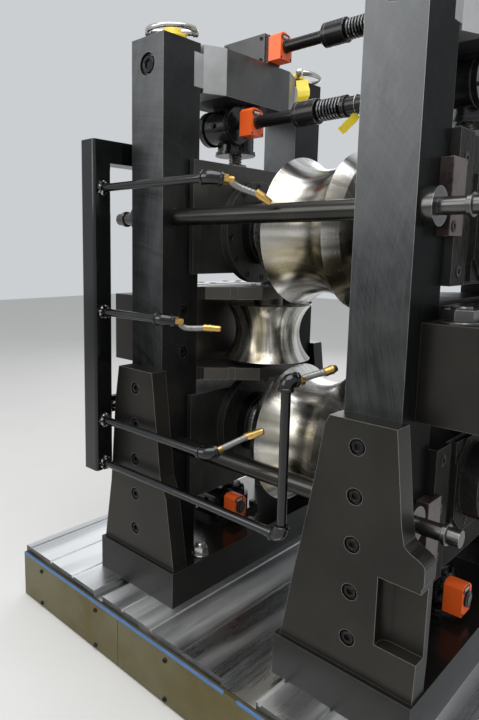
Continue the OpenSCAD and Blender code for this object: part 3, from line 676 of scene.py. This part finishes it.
for name, end, sleeve, coupling, y, z in (
    ("top_cross_shaft", 0.363, -0.272, -0.099, top_worm_y, top_worm_z),
    ("lift_cross_shaft", 0.320, -0.264, -0.094, lift_y, lift_z),
):
    rear, free = coupling + 0.086, coupling + 0.184
    profile = [
        (0, -end), (0.0149, -end), (0.0149, sleeve), (0.0210, sleeve), (0.0220, sleeve + 0.001),
        (0.0220, coupling - 0.016), (0.0260, coupling - 0.015), (0.0260, coupling),
        (0.0402, coupling), (0.0420, coupling + 0.0018), (0.0420, coupling + 0.012),
        (0.0411, coupling + 0.013), (0.0411, coupling + 0.015), (0.0420, coupling + 0.016),
        (0.0420, rear - 0.0018), (0.0402, rear), (0.0245, rear), (0.0245, free - 0.004),
        (0.0345, free - 0.004), (0.0355, free - 0.003), (0.0355, free + 0.008), (0.0345, free + 0.009),
        (0.0285, free + 0.009), (0.0285, end), (0, end),
    ]
    shaft = Shape()
    shaft.turned(profile, facing((0, y, z), (1, 0, 0)), 48)
    for angle in (0.4, 2.5, 4.6):
        out = Vector((0, math.cos(angle), math.sin(angle)))
        shaft.turned(set_screw, facing(Vector((coupling + 0.052, y, z)) + out * 0.0412, out), 24)
    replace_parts(shaft.piece(name + "_turned", shaft_finish, "black_oxide", sharp=30), name)
    coil = []
    for i in range(int(coils * coil_steps) + 1):
        angle = 2 * math.pi * i / coil_steps
        along = rear + 0.005 + (free - 0.013 - rear) * i / (coils * coil_steps)
        coil.append((along, y + coil_r * math.cos(angle), z + coil_r * math.sin(angle)))
    Shape().swept(coil, 0.0040, 10).piece(name + "_spring", spring_finish, "black_oxide")


# Hang tags are blank yellow plastic strips, curled from handling, on short wire
# loops: one at the drive exit post and one on the jacks' cross shaft.
tag_clean, tag_soiled = (0.86, 0.68, 0.02), (0.66, 0.50, 0.02)
tag_finish = mottled("blank_yellow_tag", tag_clean, tag_soiled, (60, 4, 0.6), 0.0, 0.25, 0.30)
shaft_loop = [
    (0.131, top_worm_y + 0.0298 * math.cos(a), top_worm_z + 0.0298 * math.sin(a))
    for a in turns(28, -1.57, 29)
]
tags = (
    (
        "post_tag", (0.018, 0.017, 0.003),
        ((-0.334, 0.288, 2.132), (-0.328, 0.282, 2.108), (-0.316, 0.276, 2.085), (-0.313, 0.272, 2.062),
         (-0.319, 0.268, 2.045)),
        ((-0.374, 0.306, 2.141), (-0.370, 0.304, 2.165), (-0.356, 0.298, 2.186), (-0.341, 0.292, 2.178),
         (-0.334, 0.288, 2.150), (-0.334, 0.288, 2.128)),
    ),
    (
        "shaft_tag", (0.0074, 0.0064, -0.0092),
        ((0.130, -0.075, 1.872), (0.119, -0.078, 1.857), (0.103, -0.081, 1.844), (0.087, -0.079, 1.832),
         (0.073, -0.074, 1.827)),
        (*shaft_loop, (0.130, -0.075, 1.868)),
    ),
)
for name, wide, path, wire in tags:
    wide, places = Vector(wide), [Vector(p) for p in path]
    fine = [places[k].lerp(places[k + 1], i / 6) for k in range(4) for i in range(6)] + [places[4]]
    out = (places[4] - places[0]).cross(wide).normalized() * 0.0006
    tag = Shape()
    tag.rings([[q - wide - out, q + wide - out, q + wide + out, q - wide + out] for q in fine])
    tag.piece(name, tag_finish, "orange_plastic", sharp=50)
    Shape().swept(wire, 0.0013, 8).piece(name + "_wire", zinc_plate, "machined_steel", sharp=60)


# Screw boxes hold the side rolls' screws outside the housings. They are blacked
# weldments with a cap plate and large clamp nuts on top, socket screws sunk
# flush, and a nut on each side roll's screw.
def sunk_screws(name, places, bore, head, key, body="housing"):
    bore_r, head_r = bore / 2, head / 2
    profile = [
        (bore_r, -0.001), (bore_r, 0.0010), (bore_r - 0.0008, 0.0014), (head_r + 0.0008, 0.0004),
        (head_r, 0.0004), (head_r, 0.0016), (head * 0.46, 0.0022), (key * 0.66, 0.0022),
        (hexagon(key), 0.0018), (hexagon(key * 0.96), -0.0006), (0, -0.0008),
    ]
    return Shape().set_out(profile, places).piece(name, screw_black, "black_oxide", body, sharp=20)


box_black = Finish("brown_black_box")
scale_mark = box_black.noise(7, 5, 0.6)
weldment = box_black.mix(scale_mark, (0.013, 0.012, 0.010), (0.033, 0.030, 0.025))
coat(box_black.set(
    Base_Color=box_black.rubbed(weldment, (0.20, 0.19, 0.17), 0.003, 0.65),
    Metallic=0.6,
    Roughness=scale_mark * 0.20 + 0.24,
    Normal=box_black.relief(scale_mark, 0.08, 0.001),
), "drive_screw_box", "operator_screw_box")
pass_line, box_face, box_top, cap_top = 1.132, 0.708, 1.265, 1.301
wall_screws = [
    ((side * box_face, y, z), (side, 0, 0))
    for side in (-1, 1) for y in (-0.33, -0.15, 0.15, 0.33) for z in (1.045, 1.229)
]
sunk_screws("screw_box_screws", wall_screws, 0.036, 0.030, 0.014)
cap_screws = [
    ((side * x, y, cap_top), (0, 0, 1))
    for side in (-1, 1) for x in (0.545, 0.615) for y in (-0.16, 0.0, 0.16, 0.25)
]
sunk_screws("cap_plate_screws", cap_screws, 0.030, 0.024, 0.012)
clamp_nut = [
    (0, -0.001), (0.047, -0.001), (0.049, 0.001), (0.049, 0.005), (0.047, 0.007), (hexagon(0.072), 0.0072),
    (hexagon(0.076), 0.010), (hexagon(0.076), 0.032), (hexagon(0.072), 0.036), (0.026, 0.0362),
    (0.026, 0.041), (0.023, 0.044), (0, 0.044),
]
side_nut = [
    (0.0362, -0.001), (0.062, -0.001), (0.062, 0.008), (0.060, 0.009), (hexagon(0.100), 0.0095),
    (hexagon(0.104), 0.014), (hexagon(0.104), 0.044), (hexagon(0.100), 0.048), (0.0362, 0.048),
]
clamp_x, clamp_y, clamps, side_nuts = 0.592, 0.3345, Shape(), Shape()
for side, line in corners.values():
    clamps.turned(clamp_nut, Matrix.Translation((side * clamp_x, line * clamp_y, box_top)), 48)
clamps.piece("screw_box_clamp_nuts", tie_finish, "black_oxide", sharp=28)
side_nuts.set_out(side_nut, [((side * box_face, 0, pass_line), (side, 0, 0)) for side in (-1, 1)], 48)
side_nuts.piece("side_screw_nuts", screw_black, "black_oxide", sharp=25)


# The coolant manifold is a square tube in gloss black paint, bolted to the
# entry side of a post. Pipes are welded into it, with lumpy beads that carry painted glints.
gloss = Finish("gloss_black_paint")
orange_peel = gloss.noise(90, 3, 0.5)
dust = gloss.ramp(gloss.noise(6, 5, 0.6), 0.50, 0.80)
gloss_finish = gloss.set(
    Base_Color=gloss.mix(dust * 0.5, (0.0035, 0.0037, 0.0040), (0.016, 0.016, 0.015)),
    Roughness=orange_peel * 0.10 + dust * 0.14 + 0.08,
    Normal=gloss.relief(orange_peel, 0.14, 0.0008),
    Specular_IOR_Level=0.55,
)
coat(gloss_finish, "coolant_manifold")
# Weld beads are dark metal with bright spots painted on as glints.
weld = Finish("weld_metal_painted_glints")
painted_glint_spots = weld.ramp(weld.noise(150, 4, 0.6), 0.50, 0.60)
weld_finish = weld.set(
    Base_Color=weld.mix(painted_glint_spots, (0.012, 0.012, 0.013), (0.46, 0.46, 0.45)),
    Metallic=0.9,
    Roughness=painted_glint_spots * 0.06 + 0.16,
)
pipe_y, manifold_face, bead_steps = -0.5705, -0.547, 48
pipe_ends = ((-0.040, 1.646), (-0.235, 1.217), (-0.036, 0.821), (0.245, 0.659))
beads = Shape()
for k, (_, z) in enumerate(pipe_ends):
    ring = []
    for angle in turns(bead_steps, count=bead_steps + 1):
        wobble = 0.0178 + 0.0012 * math.sin(7 * angle + k) + 0.0008 * math.sin(17 * angle)
        x = manifold_face + 0.0045 + 0.0014 * math.sin(11 * angle)
        ring.append((x, pipe_y + wobble * math.cos(angle), z + wobble * math.sin(angle)))
    beads.swept(ring, [0.0074 + 0.0020 * math.sin(i * 2.6 + k) for i in range(bead_steps + 1)], 10)
beads.piece("pipe_weld_beads", weld_finish, "black_paint")
bright_dull, bright_clean = (0.42, 0.42, 0.41), (0.66, 0.66, 0.65)
bright_finish = mottled("bright_zinc_fastener", bright_dull, bright_clean, (180, 3), 1.0, 0.2, 0.16)
bracket_bolts = hex_heads(Shape(), [((-0.575, y, 0.862), (1, 0, 0)) for y in (-0.505, -0.425)], 0.026, 0.013)
bracket_bolts.piece("manifold_bracket_bolts", bright_finish, "machined_steel", sharp=28)


# Coolant pipes are threaded black steel tubes with forged elbows, whose heavy
# bands grip the threads. The lowest one turns up into a riser.
def pipe_fitting(shape, centre, first, second):
    centre, first, second = Vector(centre), Vector(first).normalized(), Vector(second).normalized()
    start, stop = centre + first * 0.030, centre + second * 0.030
    shares = [i / 12 for i in range(13)]
    bend = [start * (1 - t) ** 2 + centre * 2 * t * (1 - t) + stop * t * t for t in shares]
    shape.swept(bend, [0.0183 + 0.0016 * math.sin(math.pi * t) for t in shares], 22)
    band = [(pipe_r, 0), (0.0200, 0), (0.0216, 0.0018), (0.0216, 0.0085), (0.0200, 0.0103), (pipe_r, 0.0103)]
    for way in (first, second):
        shape.turned(band, facing(centre + way * 0.0235, way), 32)


pipe_r, riser_top = 0.0134, 1.103
# Each runs from pipe to tip, in y from the posts' entry face and in z from the bed's top.
nozzle_paths = (
    ((-0.040, -0.107, 1.431), (-0.009, -0.060, 1.424), (0.007, -0.040, 1.405), (0.051, 0, 1.384),
     (0.078, 0.020, 1.359)),
    ((-0.235, -0.107, 1.002), (-0.210, -0.060, 0.994), (-0.198, -0.042, 0.974), (-0.142, 0, 0.976),
     (-0.104, 0.020, 0.975)),
    ((-0.036, -0.107, 0.606), (-0.020, -0.070, 0.617), (-0.004, -0.050, 0.629), (0.037, 0, 0.659),
     (0.079, 0.020, 0.680)),
    ((0.245, -0.107, 0.888), (0.262, -0.066, 0.881), (0.272, -0.044, 0.890), (0.305, 0, 0.904),
     (0.317, 0.020, 0.912)),
)
nozzle_paths = [[Vector((x, y - post_high.y, z + bed_high.z)) for x, y, z in path] for path in nozzle_paths]
pipework = Shape()
for k, (x, z) in enumerate(pipe_ends):
    pipework.swept([(manifold_face - 0.002, pipe_y, z), (x - 0.024, pipe_y, z)], pipe_r, 28)
    outlet = (0, 0, 1) if k == 3 else nozzle_paths[k][1] - nozzle_paths[k][0]
    pipe_fitting(pipework, (x, pipe_y, z), (-1, 0, 0), outlet)
    pipework.swept([(x - 0.052, pipe_y, z), (x - 0.034, pipe_y, z)], 0.0150, 28)
riser_x, riser_low = pipe_ends[3]
pipework.swept([(riser_x, pipe_y, riser_low + 0.024), (riser_x, pipe_y, riser_top - 0.024)], pipe_r, 28)
pipe_fitting(pipework, (riser_x, pipe_y, riser_top), (0, 0, -1), nozzle_paths[3][1] - nozzle_paths[3][0])
pipes = pipework.piece("threaded_pipework", gloss_finish, "black_paint", sharp=40)
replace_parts(pipes, "coolant_pipes")


# Nozzles are short ribbed hoses between turned brass nipples and brass tips
# that point the coolant at the rolls.
brass_clean, brass_tarnish = (0.80, 0.52, 0.17), (0.46, 0.28, 0.08)
brass_finish = mottled("turned_brass", brass_clean, brass_tarnish, (40, 4, 0.6), 1.0, 0.20, 0.20)
hose_dark, hose_worn = (0.14, 0.135, 0.125), (0.34, 0.33, 0.31)
hose_finish = mottled("grey_ribbed_hose", hose_dark, hose_worn, (60, 3, 0.6), 0.5, 0.15, 0.22)


def smooth_curve(points, steps):
    ends = [points[0] * 2 - points[1], *points, points[-1] * 2 - points[-2]]
    path = []
    for a, b, c, d in zip(ends, ends[1:], ends[2:], ends[3:]):
        bend, twist = a * 2 - b * 5 + c * 4 - d, b * 3 - a - c * 3 + d
        for t in (i / steps for i in range(steps)):
            path.append((b * 2 + (c - a) * t + bend * t * t + twist * t ** 3) / 2)
    return [*path, points[-1]]


fittings, hoses = Shape(), Shape()
for path in nozzle_paths:
    start = (path[1] - path[0]).normalized()
    tip = (path[4] - path[3]).normalized()
    hose = smooth_curve([path[1] - start * 0.004, path[2], path[3] + tip * 0.004], 26)
    hoses.swept(hose, [0.0094 + 0.0004 * math.cos(i * math.pi * 0.5) for i in range(len(hose))], 16)
    nipple, reach = (path[1] - path[0]).length, (path[4] - path[3]).length
    nipple_profile = [
        (0.0115, 0.024), (0.0115, nipple - 0.020), (hexagon(0.0262), nipple - 0.0195),
        (hexagon(0.0262), nipple - 0.006), (0.0106, nipple - 0.0055), (0.0106, nipple - 0.002),
        (0.0122, nipple - 0.0016), (0.0118, nipple + 0.010), (0.0092, nipple + 0.0102),
    ]
    tip_profile = [
        (0.0092, -0.012), (0.0118, -0.0115), (0.0118, 0.006), (0.0126, 0.0065), (0.0126, 0.013),
        (0.0112, 0.0135), (0.0104, reach - 0.006), (0.0086, reach), (0.0048, reach),
        (0.0044, reach - 0.008), (0, reach - 0.009),
    ]
    fittings.turned(nipple_profile, facing(path[0], start), 24)
    fittings.turned(tip_profile, facing(path[3], tip), 24)
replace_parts(fittings.piece("brass_nozzle_fittings", brass_finish, "brass", sharp=30), "nozzles")
hoses.piece("ribbed_hoses", hose_finish, "black_paint", sharp=60)


# Chocks are milled steel blocks that slide between the posts. Their bearing
# covers and end plates are screwed on, and bronze liners show at the sides of
# the openings.
chock_dark, chock_pale, chock_edge = (0.040, 0.0395, 0.037), (0.185, 0.182, 0.172), (0.52, 0.52, 0.50)
# The chocks share the fly-cut finish, with its painted light towards the top and painted shade on the side
# faces.
chock_finish = fly_cut("milled_chock_steel", chock_dark, chock_pale, chock_edge, 0.25, 0.0, 0.85)
coat(chock_finish, *[side + end + "_chock" for side in ("drive_", "operator_") for end in ("top", "bottom")])
bronze_clean, bronze_oily = (0.30, 0.235, 0.155), (0.16, 0.125, 0.085)
bronze_finish = mottled("bronze_liner", bronze_clean, bronze_oily, (24, 4, 0.6), 0.9, 0.2, 0.28)
roll_levels = (("top", pass_line + 0.374), ("bottom", pass_line - 0.374))
for (end, axis), bar_levels, (low, high) in zip(
    roll_levels, ((1.391, 1.534, 1.677), (0.587, 0.730, 0.873)), ((-0.149, 0.240), (-0.240, 0.149))
):
    bearing_screws, bar_screws, liners = [], [], Shape()
    for side in (-1, 1):
        bar_screws += [((side * 0.540, y, z), (side, 0, 0)) for y in (-0.2375, 0.2375) for z in bar_levels]
        bearing_screws += around((side * 0.546, 0, axis), 0.1305, 8, (side, 0, 0), math.pi / 8)
        bearing_screws += around((side * 0.596, 0, axis), 0.098, 6, (side, 0, 0), 0.26)
        bearing_screws += around((side * 0.303, 0, axis), 0.172, 12, (-side, 0, 0), 0.1)
        x0, x1 = (-0.353, -0.344) if side < 0 else (0.344, 0.3545)
        for y0, y1 in ((-0.338, -0.2885), (0.2885, 0.338)):
            liners.slab((x0, y0, axis + low), (x1, y1, axis + high))
    body = end + "_chocks"
    sunk_screws(end + "_chock_bar_screws", bar_screws, 0.036, 0.030, 0.015, body)
    sunk_screws(end + "_chock_cover_screws", bearing_screws, 0.024, 0.019, 0.009, body)
    liners.piece(end + "_chock_liners", bronze_finish, "brass", body, bevel=0.0008)


# Keeper plates are screwed to the posts' outer faces and hook over the chocks'
# edges. They are flame cut plate with a red brown patina and bright edges that are
# partly wear and partly painted highlight.
patina = Finish("patina_keeper_plate")
stain = patina.ramp(patina.noise(16, 5, 0.65), 0.36, 0.66)
red_brown = patina.mix(stain, (0.052, 0.034, 0.029), (0.150, 0.118, 0.108))
patina_finish = patina.set(
    Base_Color=patina.rubbed(red_brown, (0.40, 0.38, 0.36), 0.002, 0.7),
    Metallic=0.7,
    Roughness=stain * 0.18 + 0.22,
    Normal=patina.relief(stain, 0.08, 0.0005),
)
keeper_face = 0.5525
hook = (
    (post_high.x, 0.291), (0.5405, 0.291), (0.5405, 0.262), (keeper_face, 0.262), (keeper_face, 0.345),
    (post_high.x, 0.345),
)
keepers, keeper_screws = Shape(), []
for side, line in corners.values():
    for low, high in ((1.480, 1.672), (0.592, 0.784)):
        keepers.prism([(side * x, line * y) for x, y in hook], low, high)
        keeper_screws.append(((side * keeper_face, line * 0.322, low + 0.024), (side, 0, 0)))
keepers.piece("chock_keeper_plates", patina_finish, "dark_steel", bevel=0.0015)
sunk_screws("keeper_plate_screws", keeper_screws, 0.030, 0.024, 0.012)


# Grooved rolls are turned from forged steel and ground bright, with fine rings
# from the lathe. Their light and dark streaks from rim to rim are painted reflections,
# and warm patches are painted as a reflection on the side towards the entry and down.
def turned_roll(name, flatten, centre, axis, reflection_streak_scale, dark, pale, warm_reflection_colour):
    steel = Finish(name)
    away = steel.vectors("SUBTRACT", steel.place, centre)
    around_axis = steel.vectors("NORMALIZE", steel.vectors("MULTIPLY", away, flatten))
    tool = steel.vectors("DOT_PRODUCT", away, axis, out="Value")
    drift = steel.spot(tool * 0.55, tool * -0.35, tool * 0.3)
    reflection_streak_place = steel.vectors("ADD", around_axis, drift)
    # Painted reflection: light and dark streaks run from rim to rim around the axis.
    painted_reflection_streak = steel.ramp(steel.noise(reflection_streak_scale, 2.5, 0.55, at=reflection_streak_place), 0.34, 0.58)
    # Painted reflection: a warm tint on the side towards the entry and down.
    faces_entry_and_down = steel.vectors("DOT_PRODUCT", around_axis, (0, -0.96, -0.28), out="Value")
    painted_warm_reflection = steel.ramp(faces_entry_and_down, 0.45, 0.98) * steel.ramp(steel.noise(2.6, 2, 0.5, at=reflection_streak_place), 0.30, 0.60)
    rings = steel.noise(1.0, 3, 0.6, at=steel.spot(tool * 620, 0.0, 0.0))
    broad = steel.noise(1.0, 2, 0.5, at=steel.spot(tool * 46, 0.0, 0.0))
    body = steel.mix(painted_reflection_streak * 0.80 + rings * 0.2, dark, pale)
    body = steel.mix(painted_warm_reflection * 0.85, body, warm_reflection_colour)
    return steel.set(
        Base_Color=steel.rubbed(body, (0.86, 0.86, 0.85), 0.0025, 0.8),
        Metallic=1.0,
        Roughness=rings * 0.10 + painted_reflection_streak * 0.08 + broad * 0.05 + 0.13,
        Normal=steel.relief(rings + broad * 0.5, 0.30, 0.0005),
    )


pass_x = 0.017
big_roll_colours = (0.115, 0.107, 0.088), (0.99, 0.98, 0.96), (0.31, 0.25, 0.115)
for end, axis in roll_levels:
    centre = (pass_x, 0, axis)
    roll_finish = turned_roll(end + "_roll_steel", (0, 1, 1), centre, (1, 0, 0), 3.4, *big_roll_colours)
    coat(roll_finish, end + "_roll")


# Roll shafts are forged and oil blackened, with collars that clamp the rolls.
# Bright stepped rings cap the collars beside the chocks, and the bare ends shine.
forged = Finish("oil_blackened_shaft")
shaft_end = forged.ramp(forged.x.size(), 0.600, 0.602)
forge_ring = forged.grain((420, 2, 2))
black_body = forged.mix(forge_ring, (0.012, 0.012, 0.013), (0.048, 0.047, 0.046))
bare_end = forged.mix(forge_ring, (0.36, 0.36, 0.35), (0.62, 0.62, 0.61))
forging = forged.mix(shaft_end, black_body, bare_end)
coat(forged.set(
    Base_Color=forged.rubbed(forging, (0.55, 0.55, 0.54), 0.0045, 0.85),
    Metallic=0.9,
    Roughness=forge_ring * 0.14 + 0.15,
    Normal=forged.relief(forge_ring, 0.15, 0.0005),
), "top_roll_shaft", "bottom_roll_shaft")
for end, axis in roll_levels:
    body, rings, collar_screws = end + "_roll_set", Shape(), []
    for way in (1, -1):
        for offset, rim in ((0.0012, 0.1045), (0.0072, 0.0895)):
            crest = rim - 0.0015
            ring = [(0.074, 0), (crest, 0), (rim, 0.0015), (rim, 0.006), (crest, 0.0075), (0.074, 0.0075)]
            rings.turned(ring, facing((way * (offset - 0.257), 0, axis), (way, 0, 0)), 72)
    rings.piece(end + "_shaft_locking_rings", bright_finish, "machined_steel", body, sharp=30)
    for way in (-1, 1):
        collar_screws += around((pass_x + way * 0.1965, 0, axis), 0.088, 10, (way, 0, 0))
    socket_screws(end + "_roll_collar_screws", collar_screws, 0.017, 0.008, 0.009, body)


# Yokes are milled steel jaws that carry the side rolls on pins. Their faces
# are lighter than the posts, with fine milled lines and bright edges that are partly
# wear and partly painted highlight.
yoke_steel = Finish("milled_yoke_steel")
milling = yoke_steel.grain((30, 340, 340))
soil = yoke_steel.ramp(yoke_steel.noise(6, 5, 0.6), 0.35, 0.70)
yoke_body = yoke_steel.mix(milling * 0.6 + soil * 0.3, (0.060, 0.055, 0.048), (0.135, 0.124, 0.108))
coat(yoke_steel.set(
    Base_Color=yoke_steel.rubbed(yoke_body, (0.42, 0.41, 0.39), 0.0022, 0.8),
    Metallic=0.8,
    Roughness=milling * 0.16 + soil * 0.12 + 0.24,
    Normal=yoke_steel.relief(milling, 0.16, 0.0004),
), "drive_yoke", "operator_yoke")
side_roll_x = {"drive": pass_x - 0.2703, "operator": pass_x + 0.2703}
pin_end = [
    (0.034, -0.001), (0.034, 0.0008), (0.0325, 0.0016), (0.012, 0.0016), (0.010, -0.0004), (0, -0.0006)
]
for side, name in housings:
    pins = Shape()
    for way in (-1, 1):
        x, z = side_roll_x[name], pass_line + way * 0.173
        pins.turned(pin_end, facing((x, 0, z), (0, 0, way)), 48)
        hex_heads(pins, [((x + side * 0.075, 0, z), (0, 0, way))], 0.014, 0.0045)
    pins.piece(name + "_yoke_pin_ends", bright_finish, "machined_steel", name + "_yoke_set", sharp=30)


# Side rolls turn between the yokes' plates. They are ground bright, with painted
# reflection streaks running up and down their waists and a warm painted reflection on
# the side towards the entry.
side_roll_colours = (0.07, 0.066, 0.058), (0.90, 0.88, 0.82), (0.40, 0.33, 0.20)
for name, x in side_roll_x.items():
    centre, roll = (x, 0, pass_line), name + "_side_roll"
    coat(turned_roll(roll + "_steel", (1, 1, 0), centre, (0, 0, 1), 5.2, *side_roll_colours), roll)


# Jack screws are cut with a coarse thread, oiled, and press on the chocks with
# a flat foot.
def threaded(shape, x, low, high, outer, root, pitch, steps=28):
    levels = int((high - low) / pitch * 5)
    rings = []
    for z in (low + (high - low) * k / levels for k in range(levels + 1)):
        ring = []
        for i in range(steps):
            angle = 2 * math.pi * i / steps
            phase = (z / pitch + i / steps) % 1
            radius = root + (outer - root) * min(1, max(0, 1.6 - abs(phase - 0.5) * 4.4))
            ring.append((x + radius * math.cos(angle), radius * math.sin(angle), z))
        rings.append(ring)
    shape.rings(rings)


thread_bare, thread_greased = (0.40, 0.39, 0.37), (0.14, 0.13, 0.11)
thread_finish = mottled("oiled_thread", thread_bare, thread_greased, (34, 4, 0.6), 1.0, 0.22, 0.18)
for end, foot_low, foot_high, foot_r, rod_low, rod_high in (
    ("top", 1.750, 1.770, 0.045, 1.770, 2.092), ("bottom", 0.498, 0.514, 0.055, 0.404, 0.498)
):
    foot = [
        (0, foot_low), (foot_r - 0.001, foot_low), (foot_r, foot_low + 0.001), (foot_r, foot_high - 0.001),
        (foot_r - 0.001, foot_high), (0, foot_high),
    ]
    body, rods = end + "_chocks", Shape()
    for x in (-post_x, post_x):
        rods.turned(foot, Matrix.Translation((x, 0, 0)), 40)
        threaded(rods, x, rod_low, rod_high, 0.026, 0.0222, 0.010)
    screws = rods.piece(end + "_threaded_screws", thread_finish, "machined_steel", body, sharp=40)
    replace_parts(screws, end + "_jack_screws")


# The studio has a plain pale floor, soft light from above, and softer lamps
# beyond the drive side on the entry and the exit side.
floor_mesh = bpy.data.meshes.new("studio_floor")
floor_mesh.from_pydata([(-14, -14, 0), (14, -14, 0), (14, 14, 0), (-14, 14, 0)], [], [(0, 1, 2, 3)])
studio_floor = bpy.data.objects.new("studio_floor", floor_mesh)
scene.collection.objects.link(studio_floor)
floor_look = Finish("pale_floor")
floor_mesh.materials.append(floor_look.set(
    Base_Color=floor_look.mix(floor_look.noise(3, 4, 0.6), (0.60, 0.59, 0.57), (0.64, 0.63, 0.61)),
    Roughness=0.8,
))
studio_air = bpy.data.worlds.new("studio_air")
studio_air.use_nodes = True
soft_light = studio_air.node_tree.nodes["Background"]
soft_light.inputs["Color"].default_value = (0.80, 0.83, 0.86, 1)
soft_light.inputs["Strength"].default_value = 0.75
scene.world = studio_air
for name, place, size, power in (
    ("overhead", (0.5, -1.2, 5.0), 4.0, 185),
    ("entry_side", (-2.4, -4.7, 3.3), 3.0, 95),
    ("exit_side", (-3.4, 4.4, 3.2), 3.0, 60),
):
    lamp = bpy.data.lights.new(name, "AREA")
    lamp.size, lamp.energy = size, power
    stand = bpy.data.objects.new(name, lamp)
    stand.location = place
    stand.rotation_euler = (Vector((0, 0, 1.0)) - Vector(place)).to_track_quat("-Z", "Y").to_euler()
    scene.collection.objects.link(stand)
